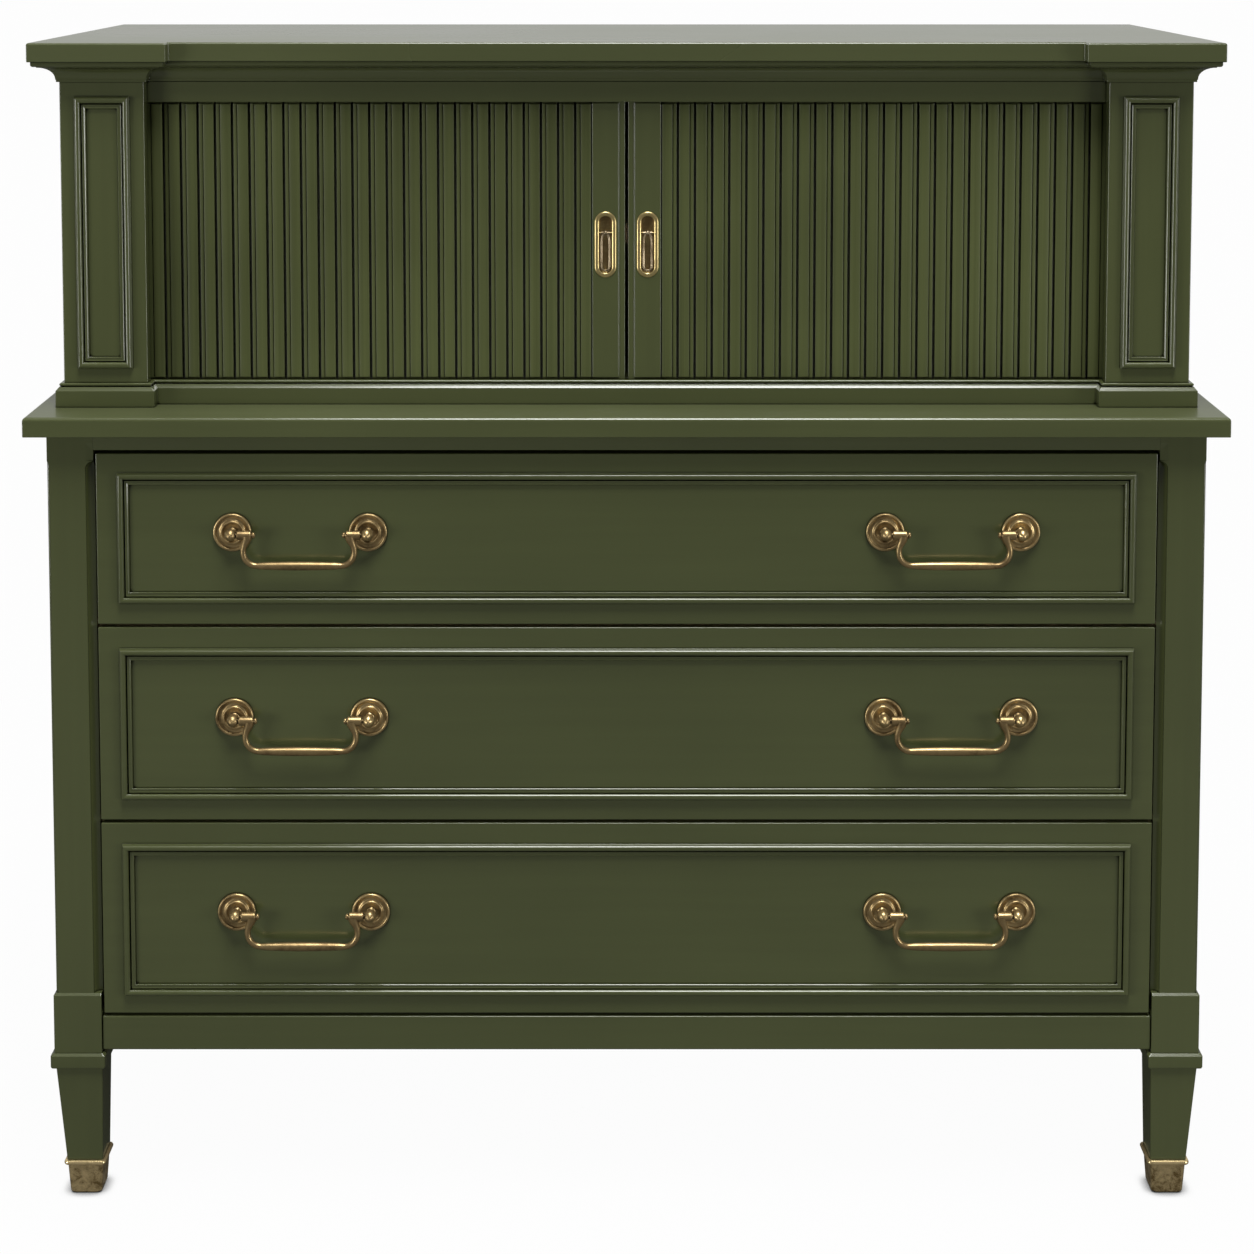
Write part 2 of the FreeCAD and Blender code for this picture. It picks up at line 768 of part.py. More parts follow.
# The drawers: a front with its mitred moulding frame, a box grooved for its bottom, and
# two pulls. The frame sits a little nearer the edge at the top and bottom of the whole set.
frame_insets = {drawer: ["frame_inset", "frame_inset"] for drawer in DRAWERS}
frame_insets[DRAWERS[0]][1] = "frame_end_inset"
frame_insets[DRAWERS[-1]][0] = "frame_end_inset"


def drawer_front(drawer):
    """A flat front with its outer edges eased."""
    blank = board(
        f"front_{drawer}_blank", ("-drawer_half", "drawer_half"), ("body_front", "drawer_back_face"),
        (f"drawer_{drawer}_bottom", f"drawer_{drawer}_top"),
    )
    doc.recompute()
    return eased(f"front_{drawer}", "Chamfer", blank, [(near(y="body_front"), "drawer_easing")])


def drawer_frame(drawer):
    """The mitred frame on a drawer's front."""
    below, above = frame_insets[drawer]
    half = mm("drawer_half - frame_inset")
    levels = (mm(f"drawer_{drawer}_bottom + {below}"), mm(f"drawer_{drawer}_top - {above}"))
    pieces = moulding_frame((-half, half), mm("body_front"), levels)
    return shaped(f"frame_{drawer}", Part.makeCompound(pieces))


def drawer_box(drawer):
    """Two sides and a back, with one groove run round them for the bottom."""
    half, wall = "drawer_box_half", "drawer_side_thickness"
    low = f"{runner_top(drawer)} + runner_clearance"
    high = f"drawer_{drawer}_top - drawer_box_top_drop"
    depth = ("drawer_back_face", "drawer_box_back")
    walls = [
        board(f"box_{drawer}_{side}", on_side(sign, f"{half} - {wall}", half), depth, (low, high))
        for side, sign in SIDES.items()
    ]
    walls.append(board(
        f"box_{drawer}_back", (f"{wall} - {half}", f"{half} - {wall}"),
        (f"drawer_box_back - {wall}", "drawer_box_back"), (low, f"{high} - drawer_back_drop"),
    ))
    reach = f"{half} - {wall} + drawer_groove_depth"
    sill = f"{low} + drawer_bottom_raise"
    groove = board(
        f"box_{drawer}_groove", (f"-({reach})", reach),
        ("drawer_back_face - overrun", f"drawer_box_back - {wall} + drawer_groove_depth"),
        (sill, f"{sill} + drawer_bottom_thickness + 2 * drawer_groove_clearance"),
    )
    return cut(f"box_{drawer}", group(f"box_{drawer}_walls", walls), groove)


def drawer_bottom(drawer):
    """The thin bottom that lies in the groove."""
    low = f"{runner_top(drawer)} + runner_clearance + drawer_bottom_raise + drawer_groove_clearance"
    inset = "drawer_side_thickness - drawer_groove_depth + drawer_groove_clearance"
    return board(
        f"bottom_{drawer}", (f"{inset} - drawer_box_half", f"drawer_box_half - ({inset})"),
        ("drawer_back_face", f"drawer_box_back - ({inset})"), (low, f"{low} + drawer_bottom_thickness"),
    )


def pull_height(drawer):
    """The level of a drawer's rosettes."""
    return mm(f"(drawer_{drawer}_bottom + drawer_{drawer}_top) / 2 + pull_rise")


def pull_post(spot, inboard):
    """A stem with a ball bored for the bail's pin, and a nipple on the ball's front."""
    seat = mm("rosette_height") * rosette_profile_shares[-1][1]
    reach, radius, stem = mm("pull_axis_reach"), mm("post_ball_radius"), mm("post_stem_radius")
    nipple, bevel = mm("post_nipple_radius"), mm("post_nipple_bevel")
    tip = reach + radius + mm("post_nipple_height")
    globe = [(radius * out, reach + radius * up) for out, up in ball_profile_shares]
    profile = [
        (stem, seat), (stem, reach - radius), *globe, (nipple, reach + radius), (nipple - bevel, tip)
    ]
    hole = Part.makeCylinder(
        mm("bail_pin_radius + bail_pin_clearance"), mm("bail_pin_length + bail_post_clearance + overrun"),
        spot + FreeCAD.Vector(inboard * (radius + mm("overrun")), -reach, 0), X_AXIS * -inboard,
    )
    return turned(profile, POST_FACETS, spot).cut(hole)


def pull_plates(drawer):
    """Both pulls' rosettes and posts, on one front."""
    wide, tall = mm("rosette_radius"), mm("rosette_height")
    rosette_profile = [(wide * out, tall * up) for out, up in rosette_profile_shares]
    pieces = []
    for pull in SIDES.values():
        for side in SIDES.values():
            across = pull * mm("pull_offset") + side * mm("rosette_spacing / 2")
            spot = FreeCAD.Vector(across, mm("body_front"), pull_height(drawer))
            pieces.append(turned(rosette_profile, ROSETTE_FACETS, spot))
            pieces.append(pull_post(spot, -side))
    return shaped(f"pull_plates_{drawer}", Part.makeCompound(pieces))


def bail():
    """A bent bail with a swelling grip, and a barrel and a pin at the top of each arm."""
    arm, turn, drop = mm("bail_arm"), mm("bail_bend_radius"), mm("bail_drop")
    thin, thick, half_grip = mm("bail_arm_radius"), mm("bail_grip_radius"), mm("bail_grip_half")
    corner = FreeCAD.Vector(arm - turn, 0, turn - drop)
    half_path = [FreeCAD.Vector(arm, 0, 0), *lower_bend(corner, turn)]
    half_radii = [thin] * len(half_path)
    for out, swell in grip_swell_shares:
        half_path.append(FreeCAD.Vector(half_grip * out, 0, -drop))
        half_radii.append(thin + (thick - thin) * swell)
    path = half_path + [FreeCAD.Vector(-point.x, 0, point.z) for point in reversed(half_path)]
    shape = wire_form(path, half_radii + half_radii[::-1])
    end = mm("bail_end")
    radius, length, bevel = mm("bail_barrel_radius"), mm("bail_barrel_length"), mm("bail_barrel_bevel")
    profile = [(radius - bevel, 0), (radius, bevel), (radius, length - bevel), (radius - bevel, length)]
    ends = []
    for sign in SIDES.values():
        outward = X_AXIS * sign
        ends.append(turned(profile, POST_FACETS, outward * (end - length), outward))
        ends.append(Part.makeCylinder(
            mm("bail_pin_radius"), mm("bail_pin_length + bail_post_clearance"), outward * end, outward
        ))
    return shape.fuse(ends).removeSplitter().Solids[0]


bail_shape = bail()
for drawer in DRAWERS:
    node(f"drawer_{drawer}_front", drawer_front(drawer))
    node(f"drawer_{drawer}_frame", drawer_frame(drawer))
    node(f"drawer_{drawer}_box", drawer_box(drawer))
    node(f"drawer_{drawer}_bottom_panel", drawer_bottom(drawer))
    node(f"drawer_{drawer}_pull_plates", pull_plates(drawer))
    for side, sign in SIDES.items():
        hung = bail_shape.copy()
        hung.translate(FreeCAD.Vector(
            sign * mm("pull_offset"), mm("body_front - pull_axis_reach"), pull_height(drawer)
        ))
        node(f"drawer_{drawer}_{side}_bail", shaped(f"bail_{drawer}_{side}", hung))

# The deck and the top slab. The slab's middle steps back between the pilasters.
node("deck", slab_body("deck_body", [
    ("-deck_half", "deck_front"), ("deck_half", "deck_front"),
    ("deck_half", "deck_back"), ("-deck_half", "deck_back"),
], "deck_bottom", "deck_thickness", "deck_easing"))
node("top_slab", slab_body("top_slab_body", [
    ("-slab_half", "slab_front"), ("-slab_inner", "slab_front"),
    ("-slab_inner", "slab_middle_front"), ("slab_inner", "slab_middle_front"),
    ("slab_inner", "slab_front"), ("slab_half", "slab_front"),
    ("slab_half", "deck_back"), ("-slab_half", "deck_back"),
], "slab_bottom", "slab_thickness", "slab_easing"))

# The cabinet's carcass. The front edge of its top board shows as the frieze.
upper_height = ("deck_top", "slab_bottom")
for side, sign in SIDES.items():
    node(f"upper_{side}_side", board(
        f"upper_{side}_board", on_side(sign, "upper_side_inner", "pilaster_outer"),
        ("upper_front", "body_back"), upper_height,
    ))
    node(f"{side}_pilaster", board(
        f"{side}_pilaster_board", on_side(sign, "pilaster_inner", "pilaster_outer"),
        ("pilaster_front", "upper_front"), upper_height,
    ))
between_sides = ("-upper_side_inner", "upper_side_inner")
node("upper_back_panel", board(
    "upper_back", between_sides, ("upper_panel_front", "body_back"), upper_height
))
node("cornice_rail", board(
    "cornice_rail_board", between_sides, ("upper_front", "upper_front + cornice_rail_thickness"),
    ("top_board_top", "slab_bottom"),
))


def track_edge(offset):
    """Points of the track's edge on the right, offset outwards from its middle line."""
    turn, front, back = mm("track_radius"), mm("track_middle"), mm("track_back")
    centre = mm("track_side") - turn
    reach = turn + offset
    bends = [(reach * math.sin(angle), reach * math.cos(angle)) for angle in quarter_turn(TRACK_FACETS)]
    return [
        (0, front - offset),
        *((centre + near_side, front + turn - near_front) for near_side, near_front in bends),
        *((centre + near_side, back - turn + near_back) for near_side, near_back in reversed(bends)),
        (centre - mm("track_tail"), back + offset),
    ]


def track_groove():
    """The groove for both doors, as deep as the boards take it, on the level z = 0."""
    outer, inner = track_edge(mm("track_width / 2")), track_edge(mm("-track_width / 2"))
    half = outline(*outer, *reversed(inner)).extrude(Z_AXIS * mm("track_depth"))
    return half.fuse(half.mirror(ORIGIN, X_AXIS)).removeSplitter()


for name, sill, height in (
    ("bottom_board", "opening_bottom - track_depth", ("deck_top", "opening_bottom")),
    ("top_board", "opening_top", ("opening_top", "top_board_top")),
):
    groove = place(shaped(f"{name}_groove", track_groove()), z=sill)
    blank = board(f"{name}_blank", between_sides, ("upper_front", "upper_panel_front"), height)
    node(name, cut(f"{name}_grooved", blank, groove))

# Liners: a false side behind each pilaster and a false back. They hide the pocket that
# the open doors run into, and carry the shelf's cleats.
opening_span = ("opening_bottom", "opening_top")
liners = [
    board(
        f"{side}_liner", on_side(sign, "liner_inner", "pilaster_inner"),
        ("liner_front", "liner_back"), opening_span,
    )
    for side, sign in SIDES.items()
]
liners.append(board(
    "back_liner", ("-liner_inner", "liner_inner"),
    ("liner_back - back_panel_thickness", "liner_back"), opening_span,
))
node("pocket_liners", group("pocket_liner_set", liners))
node("shelf_cleats", group("shelf_cleat_pair", [
    board(
        f"{side}_cleat", on_side(sign, "liner_inner - cleat_width", "liner_inner"),
        ("liner_front + shelf_front_gap + cleat_end_inset", "liner_back - back_panel_thickness"),
        ("shelf_bottom - cleat_height", "shelf_bottom"),
    )
    for side, sign in SIDES.items()
]))
node("shelf", board(
    "shelf_board", ("shelf_side_gap - liner_inner", "liner_inner - shelf_side_gap"),
    ("liner_front + shelf_front_gap", "liner_back - back_panel_thickness - shelf_side_gap"),
    ("shelf_bottom", "shelf_top"),
))

# The mouldings that run round the cabinet, each in seven mitred lengths: the plinth where
# it stands on the deck, and the cornice under the slab.
half_plan = [
    ("pilaster_outer", "body_back"), ("pilaster_outer", "pilaster_front"),
    ("pilaster_inner", "pilaster_front"), ("pilaster_inner", "upper_front"),
]
wall_corners = [(-mm(x), mm(y)) for x, y in half_plan] + [(mm(x), mm(y)) for x, y in reversed(half_plan)]


def plinth_profile():
    """A tall fascia, an ogee, a quirk and a small bead."""
    proud, bead, fascia = mm("plinth_proud"), mm("plinth_bead_proud"), mm("plinth_fascia_height")
    ogee_top = fascia + mm("plinth_ogee_height")
    quirk = bead * (1 - quirk_share)
    top = mm("bottom_board_thickness + plinth_rise")
    bead_low = top - mm("plinth_bead_height")
    return [
        (0, 0), (proud, 0), *between((proud, fascia), (bead, ogee_top), ogee_shares), (quirk, ogee_top),
        *between((quirk, bead_low), (bead, top), bead_shares), (0, top),
    ]


def cornice_profile():
    """A small fillet, a cove and a crown fillet under the slab."""
    fillet, foot = mm("cornice_fillet_proud"), mm("cornice_fillet_height")
    cove, crown, top = mm("cornice_cove_proud"), mm("cornice_crown_proud"), mm("cornice_height")
    cove_top = top - mm("cornice_cove_top_drop")
    crown_low = top - mm("cornice_crown_height")
    return [
        (0, 0), (fillet, 0), *between((fillet, foot), (cove, cove_top), cove_shares), (cove, crown_low),
        (crown, crown_low), (crown, top), (0, top),
    ]


node("plinth_moulding", shaped("plinth_lengths", Part.makeCompound(
    moulding_round(plinth_profile(), wall_corners, mm("deck_top"))
)))
node("cornice_moulding", shaped("cornice_lengths", Part.makeCompound(
    moulding_round(cornice_profile(), wall_corners, mm("top_board_top"))
)))
frame_levels = (
    mm("opening_bottom + plinth_rise + pilaster_frame_inset"), mm("top_board_top - pilaster_frame_inset")
)
frame_sides = (mm("pilaster_inner + pilaster_frame_inset"), mm("pilaster_outer - pilaster_frame_inset"))
node("pilaster_frames", shaped("pilaster_frame_set", Part.makeCompound([
    length
    for sign in SIDES.values()
    for length in moulding_frame(
        sorted(sign * level for level in frame_sides), mm("pilaster_front"), frame_levels
    )
])))


# The tambour doors. Each has slats glued to a canvas, and a lead stile that carries the
# flush cup and its ring. The right one is drawn.
def tambour_slats():
    """Slats with a wide face and a narrow lower strip, as far as just behind the pilaster."""
    wide, thick = mm("slat_pitch - slat_gap"), mm("slat_thickness")
    step, face = mm("slat_step"), mm("slat_face_width")
    section = outline((0, thick), (0, 0), (face, 0), (face, step), (wide, step), (wide, thick))
    section.translate(FreeCAD.Vector(mm("stile_tail + slat_gap"), mm("tambour_front"), mm("slat_bottom")))
    slat = section.extrude(Z_AXIS * mm("slat_top - slat_bottom"))
    row = []
    for index in range(round(mm("(canvas_end - stile_tail) / slat_pitch"))):
        copy = slat.copy()
        copy.translate(X_AXIS * index * mm("slat_pitch"))
        row.append(copy)
    return Part.makeCompound(row)


def stadium(width, height, front, depth):
    """A round-ended plate, tall along Z, from its front plane to its depth behind it."""
    radius = width / 2
    straight = height / 2 - radius
    quarter = [
        (radius * math.cos(turn), straight + radius * math.sin(turn)) for turn in quarter_turn(CUP_FACETS)
    ]
    upper = quarter + [(-across, up) for across, up in reversed(quarter[:-1])]
    solid = outline(*upper, *((-across, -up) for across, up in upper)).extrude(Z_AXIS * -depth)
    # The plate's height turns up to Z, and its back to +Y.
    solid.Placement = FreeCAD.Placement(
        FreeCAD.Vector(0, front, 0), FreeCAD.Rotation(X_AXIS, Z_AXIS, -Y_AXIS)
    )
    return solid


cup_spot = FreeCAD.Vector(
    mm("stile_tail - (stile_width - stile_bead_width) / 2"), mm("tambour_front"),
    mm("(opening_bottom + opening_top) / 2 - cup_drop"),
)
ring_spot = cup_spot + FreeCAD.Vector(0, mm("ring_lift"), mm("cup_height / 2 - ring_pivot_drop"))


def cup_stadium(inset, front, depth):
    """A plate of the cup's outline less an inset, at the cup."""
    width, height = mm(f"cup_width - 2 * ({inset})"), mm(f"cup_height - 2 * ({inset})")
    plate = stadium(width, height, mm(front), mm(depth))
    plate.translate(cup_spot)
    return plate


def lead_stile():
    """The door's leading stile: a bead at its meeting edge, tongues, and a pocket for the cup."""
    low = mm("opening_bottom + stile_end_gap")
    plan = outline(
        (mm("stile_lead"), mm("tambour_front + stile_bead_step")),
        (mm("stile_lead + stile_bead_width"), mm("tambour_front + stile_bead_step")),
        (mm("stile_lead + stile_bead_width"), mm("tambour_front")), (mm("stile_tail"), mm("tambour_front")),
        (mm("stile_tail"), mm("tambour_front + stile_thickness")),
        (mm("stile_lead"), mm("tambour_front + stile_thickness")),
    )
    plan.translate(Z_AXIS * low)
    panel = plan.extrude(Z_AXIS * (mm("opening_top - stile_end_gap") - low))
    tongue = Part.makeBox(
        mm("stile_width"), mm("slat_thickness - stile_bead_step"), mm("slat_top - slat_bottom"),
        FreeCAD.Vector(mm("stile_lead"), mm("tambour_front + stile_bead_step"), mm("slat_bottom")),
    )
    pocket = cup_stadium(
        "cup_rim_width - cup_wall - cup_clearance", "-overrun", "overrun + cup_depth + cup_wall"
    )
    return panel.fuse(tongue).removeSplitter().cut(pocket)


def flush_cup():
    """A brass cup: a wide rim that lies on the stile, thin walls, a floor and the ring's pin."""
    plate = cup_stadium("0", "-cup_lip", "cup_lip")
    shell = cup_stadium("cup_rim_width - cup_wall", "0", "cup_depth + cup_wall")
    hollow = cup_stadium("cup_rim_width", "-cup_lip", "cup_lip + cup_depth")
    half = mm("cup_width / 2 - cup_rim_width")
    pin = Part.makeCylinder(mm("ring_pin_radius"), 2 * half, ring_spot - X_AXIS * half, X_AXIS)
    return plate.fuse(shell).removeSplitter().cut(hollow).fuse(pin)


def drop_ring():
    """A long loop of wire under a knuckle that turns on the cup's pin."""
    radius, half = mm("ring_wire_radius"), mm("ring_width / 2")
    turn = half - radius
    foot = FreeCAD.Vector(0, 0, half - mm("ring_length"))
    half_path = [X_AXIS * turn, *lower_bend(foot, turn)]
    path = half_path + [FreeCAD.Vector(-point.x, 0, point.z) for point in reversed(half_path[:-1])]
    knuckle, bevel = mm("ring_knuckle_radius"), mm("ring_knuckle_radius") * knuckle_bevel_share
    barrel = turned(
        [(knuckle - bevel, 0), (knuckle, bevel), (knuckle, 2 * half - bevel), (knuckle - bevel, 2 * half)],
        POST_FACETS, X_AXIS * -half, X_AXIS,
    )
    bore = Part.makeCylinder(
        mm("ring_pin_radius + ring_pin_clearance"), 2 * (half + mm("overrun")),
        X_AXIS * -(half + mm("overrun")), X_AXIS,
    )
    ring = wire_form(path, [radius] * len(path)).fuse(barrel).removeSplitter().cut(bore).Solids[0]
    ring.translate(ring_spot)
    return ring


door_pieces = {
    "tambour_slats": tambour_slats(),
    "lead_stile": lead_stile(),
    "flush_cup": flush_cup(),
    "drop_ring": drop_ring(),
}
for side, sign in SIDES.items():
    for name, shape in door_pieces.items():
        hand = shape if sign > 0 else shape.mirror(ORIGIN, X_AXIS)
        node(f"{side}_{name}", shaped(f"{side}_{name}_shape", hand))
    node(f"{side}_tambour_canvas", board(
        f"{side}_canvas", on_side(sign, "stile_tail", "canvas_end"),
        ("canvas_front", "canvas_front + canvas_thickness"), ("slat_bottom", "slat_top"),
    ))

doc.recompute()
faults = [item.Label for item in doc.Objects if "Invalid" in item.State or "Error" in item.State]
for label, piece in nodes.items():
    if piece.Shape.isNull() or not piece.Shape.isValid() or not piece.Shape.Solids:
        faults.append(label)
if faults:
    raise SystemExit(f"these objects failed: {', '.join(faults)}")

os.makedirs("parts", exist_ok=True)
for label, piece in nodes.items():
    piece.Shape.exportStep(f"parts/{label}.step")
print(len(nodes), "sub-parts")
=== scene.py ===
import bmesh
import bpy
import numpy as np
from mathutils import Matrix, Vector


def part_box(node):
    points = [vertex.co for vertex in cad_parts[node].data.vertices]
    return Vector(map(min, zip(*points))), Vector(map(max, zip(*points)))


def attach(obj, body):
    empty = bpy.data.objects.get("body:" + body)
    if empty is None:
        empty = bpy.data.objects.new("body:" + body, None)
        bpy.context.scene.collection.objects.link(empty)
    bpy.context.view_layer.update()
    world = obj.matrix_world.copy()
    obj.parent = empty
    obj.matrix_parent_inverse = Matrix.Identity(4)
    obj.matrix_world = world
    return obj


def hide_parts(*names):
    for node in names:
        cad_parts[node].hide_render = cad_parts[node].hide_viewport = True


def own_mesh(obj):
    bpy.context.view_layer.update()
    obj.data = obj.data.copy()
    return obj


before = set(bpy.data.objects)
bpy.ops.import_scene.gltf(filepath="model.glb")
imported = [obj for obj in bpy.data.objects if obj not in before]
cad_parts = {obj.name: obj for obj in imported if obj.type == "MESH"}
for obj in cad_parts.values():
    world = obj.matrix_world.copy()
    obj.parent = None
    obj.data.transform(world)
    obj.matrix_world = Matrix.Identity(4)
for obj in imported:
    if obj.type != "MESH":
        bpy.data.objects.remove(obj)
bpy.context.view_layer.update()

# The camera stands in front of the middle of the chest, 2.4 m from the deck's front edge and
# a little higher than the cabinet, turned down by under five degrees. Its lens is a longish one,
# shifted down so that the posts stay nearly upright in the picture.
camera = bpy.data.objects.new("camera", bpy.data.cameras.new("camera"))
camera.location = (0.0004, -2.6586, 1.209)
camera.rotation_euler = (np.radians(90 - 4.587), 0, 0)
camera.data.lens = 75.54
camera.data.sensor_width = 36
camera.data.shift_y = -0.3903
bpy.context.scene.collection.objects.link(camera)
bpy.context.scene.camera = camera
bpy.context.scene.view_settings.view_transform = "Standard"


# The room is white behind the chest and dim on the side of the camera, so that the upright
# lacquer keeps its depth while the slab's top picks up the white.
def add_node(tree, kind, values=None, **settings):
    """A shader node; each value is set on its input, or joined to it where it is a socket."""
    made = tree.nodes.new(kind)
    for name, value in settings.items():
        setattr(made, name, value)
    for name, value in (values or {}).items():
        if isinstance(value, bpy.types.NodeSocket):
            tree.links.new(value, made.inputs[name])
        else:
            made.inputs[name].default_value = value
    return made


def white_seen(tree, share):
    """Where the white is seen: by the camera everywhere, and in reflections by the given share."""
    path = add_node(tree, "ShaderNodeLightPath")
    bounced = add_node(tree, "ShaderNodeMath", {
        0: path.outputs["Is Glossy Ray"], 1: path.outputs["Is Transmission Ray"],
    }, operation="ADD")
    mirrored_white = add_node(tree, "ShaderNodeMath", {
        0: bounced.outputs[0], 1: share,
    }, operation="MULTIPLY")
    return add_node(tree, "ShaderNodeMath", {
        0: path.outputs["Is Camera Ray"], 1: mirrored_white.outputs[0],
    }, operation="ADD", use_clamp=True).outputs[0]


pure_white, backdrop_white = (1, 1, 1, 1), 0.985
room = bpy.data.worlds.new("room")
bpy.context.scene.world = room
room.use_nodes = True
tree = room.node_tree
tree.nodes.clear()
direction = add_node(tree, "ShaderNodeTexCoord").outputs["Generated"]
way = add_node(tree, "ShaderNodeSeparateXYZ", {0: direction})
room_level = add_node(tree, "ShaderNodeMapRange", {
    "Value": way.outputs["Y"], "From Min": -0.5, "From Max": 0.9, "To Min": 0.17, "To Max": 0.47,
}, interpolation_type="SMOOTHSTEP")
behind = add_node(tree, "ShaderNodeMapRange", {
    "Value": way.outputs["Y"], "From Min": 0.2, "From Max": 0.98, "To Min": 0.0, "To Max": 0.3,
}, interpolation_type="SMOOTHSTEP")
room_light = add_node(tree, "ShaderNodeBackground", {"Color": pure_white, "Strength": room_level.outputs[0]})
room_seen = add_node(tree, "ShaderNodeBackground", {"Color": pure_white, "Strength": backdrop_white})
room_mix = add_node(tree, "ShaderNodeMixShader", {
    0: white_seen(tree, behind.outputs[0]), 1: room_light.outputs[0], 2: room_seen.outputs[0],
})
add_node(tree, "ShaderNodeOutputWorld", {"Surface": room_mix.outputs[0]})

# The floor is a pale studio sheet. Seen from the camera it runs out into the white of the
# room, and near the feet a soft shadow is painted into its glow, over a faint real one.
sheet = bpy.data.materials.new("floor_sheet")
sheet.use_nodes = True
tree = sheet.node_tree
tree.nodes.clear()
spot = add_node(tree, "ShaderNodeTexCoord").outputs["Object"]
from_middle = add_node(tree, "ShaderNodeVectorMath", {0: spot}, operation="LENGTH")
far = add_node(tree, "ShaderNodeMapRange", {
    "Value": from_middle.outputs["Value"], "From Min": 0.8, "From Max": 1.7, "To Min": 0.0, "To Max": 1.0,
}, interpolation_type="SMOOTHSTEP")
lit = add_node(tree, "ShaderNodeBsdfDiffuse", {"Color": (0.012, 0.012, 0.012, 1)})
# Painted shadow: the glow is dimmed where the feet crowd the floor.
closeness = add_node(tree, "ShaderNodeAmbientOcclusion", {"Distance": 0.013}, samples=8)
level = add_node(tree, "ShaderNodeMapRange", {
    "Value": closeness.outputs["AO"], "From Min": 0.3, "From Max": 0.9, "To Min": 0.05, "To Max": 0.97,
})
raised = add_node(tree, "ShaderNodeEmission", {"Color": pure_white, "Strength": level.outputs[0]})
near_sheet = add_node(tree, "ShaderNodeAddShader", {0: lit.outputs[0], 1: raised.outputs[0]})
white = add_node(tree, "ShaderNodeEmission", {"Color": pure_white, "Strength": backdrop_white})
seen = add_node(tree, "ShaderNodeMixShader", {
    0: far.outputs[0], 1: near_sheet.outputs[0], 2: white.outputs[0],
})
plain = add_node(tree, "ShaderNodeBsdfDiffuse", {"Color": (0.12, 0.12, 0.12, 1)})
depth = add_node(tree, "ShaderNodeSeparateXYZ", {0: spot}).outputs["Y"]
mirrored_from = add_node(tree, "ShaderNodeMapRange", {
    "Value": depth,
    "From Min": 3.0, "From Max": 6.0, "To Min": 0.0, "To Max": 1.0,
})
sheet_mix = add_node(tree, "ShaderNodeMixShader", {
    0: white_seen(tree, mirrored_from.outputs[0]), 1: plain.outputs[0], 2: seen.outputs[0],
})
add_node(tree, "ShaderNodeOutputMaterial", {"Surface": sheet_mix.outputs[0]})
floor_mesh = bpy.data.meshes.new("floor")
floor_reach = 9
floor_corners = [(-1, -1), (1, -1), (1, 1), (-1, 1)]
floor_mesh.from_pydata([(floor_reach * x, floor_reach * y, 0) for x, y in floor_corners], [], [(0, 1, 2, 3)])
floor_mesh.materials.append(sheet)
floor = bpy.data.objects.new("floor", floor_mesh)
bpy.context.scene.collection.objects.link(floor)


# The lamps: a large soft box high overhead, whose reflection runs along the mouldings that
# slope upwards, and a smaller one low down on each side, the left one stronger.
def soft_box(name, spot, aim, width, height, power):
    """A rectangular lamp at a spot, turned towards the point that it lights."""
    lamp = bpy.data.lights.new(name, "AREA")
    lamp.shape = "RECTANGLE"
    lamp.size, lamp.size_y, lamp.energy = width, height, power
    hung = bpy.data.objects.new(name, lamp)
    hung.location = spot
    hung.rotation_euler = (hung.location - type(hung.location)(aim)).to_track_quat("Z", "Y").to_euler()
    bpy.context.scene.collection.objects.link(hung)


soft_box("soft_box_over", spot=(0.17, -1.5, 5.2), aim=(0, -0.3, 0.7), width=1.9, height=3.2, power=405)
soft_box("soft_box_left", spot=(-2.9, -2.2, 0.4), aim=(0, 0, 0.3), width=1.2, height=1.6, power=68)
soft_box("soft_box_right", spot=(2.9, -2.2, 0.4), aim=(0, 0, 0.3), width=1.2, height=1.6, power=57)


# Leg posts: one length of wood each, with a square block, a collar and a tapered foot left
# on it, and lacquered olive green. The front ones have a stopped cove down each front corner.
def shell(points, faces):
    """A closed shell in millimetres, its faces turned outwards.

    The volume is the sum of p . (q x r) over fan triangles; if it is negative, the faces turn round.
    """
    volume = sum(
        np.sum(points[block[:, 0]] * np.cross(points[block[:, step]], points[block[:, step + 1]]))
        for block in faces for step in range(1, block.shape[1] - 1)
    )
    return points, [block[:, ::-1] if volume < 0 else block for block in faces]


def skin(points, loop=False):
    """The shell over a grid of points, rows by columns by three.

    Columns run round and meet. Rows meet too if loop is set, and otherwise the end rows are capped.
    """
    rows, columns = points.shape[:2]
    row = np.arange(rows if loop else rows - 1)[:, None] * np.ones((1, columns), int)
    column = np.arange(columns)[None, :] + 0 * row
    after, beside = (row + 1) % rows, (column + 1) % columns
    faces = [np.stack([
        row * columns + column, row * columns + beside, after * columns + beside, after * columns + column,
    ], -1).reshape(-1, 4)]
    if not loop:
        ends = np.arange(columns)[None, :]
        faces += [ends[:, ::-1], ends + (rows - 1) * columns]
    return shell(points.reshape(-1, 3).astype(float), faces)


def stack(levels, corner=0.8, steps=3):
    """A solid of rectangles with rounded corners, one for each level (x, x, y, y, z).

    A corner's points are its centre plus the radius times (cos, sin) of a quarter turn.
    """
    low_x, high_x, low_y, high_y, z = np.array(levels, float).T[:, :, None]
    quarter = np.arange(4)[:, None]
    turn = ((quarter + np.linspace(0, 1, steps + 1)[None, :]) * np.pi / 2).reshape(1, -1)
    right = np.repeat(np.array([1, 0, 0, 1]), steps + 1)[None, :]
    back = np.repeat(np.array([1, 1, 0, 0]), steps + 1)[None, :]
    x = np.where(right, high_x - corner, low_x + corner) + corner * np.cos(turn)
    y = np.where(back, high_y - corner, low_y + corner) + corner * np.sin(turn)
    return skin(np.stack([x, y, z + 0 * x], -1))


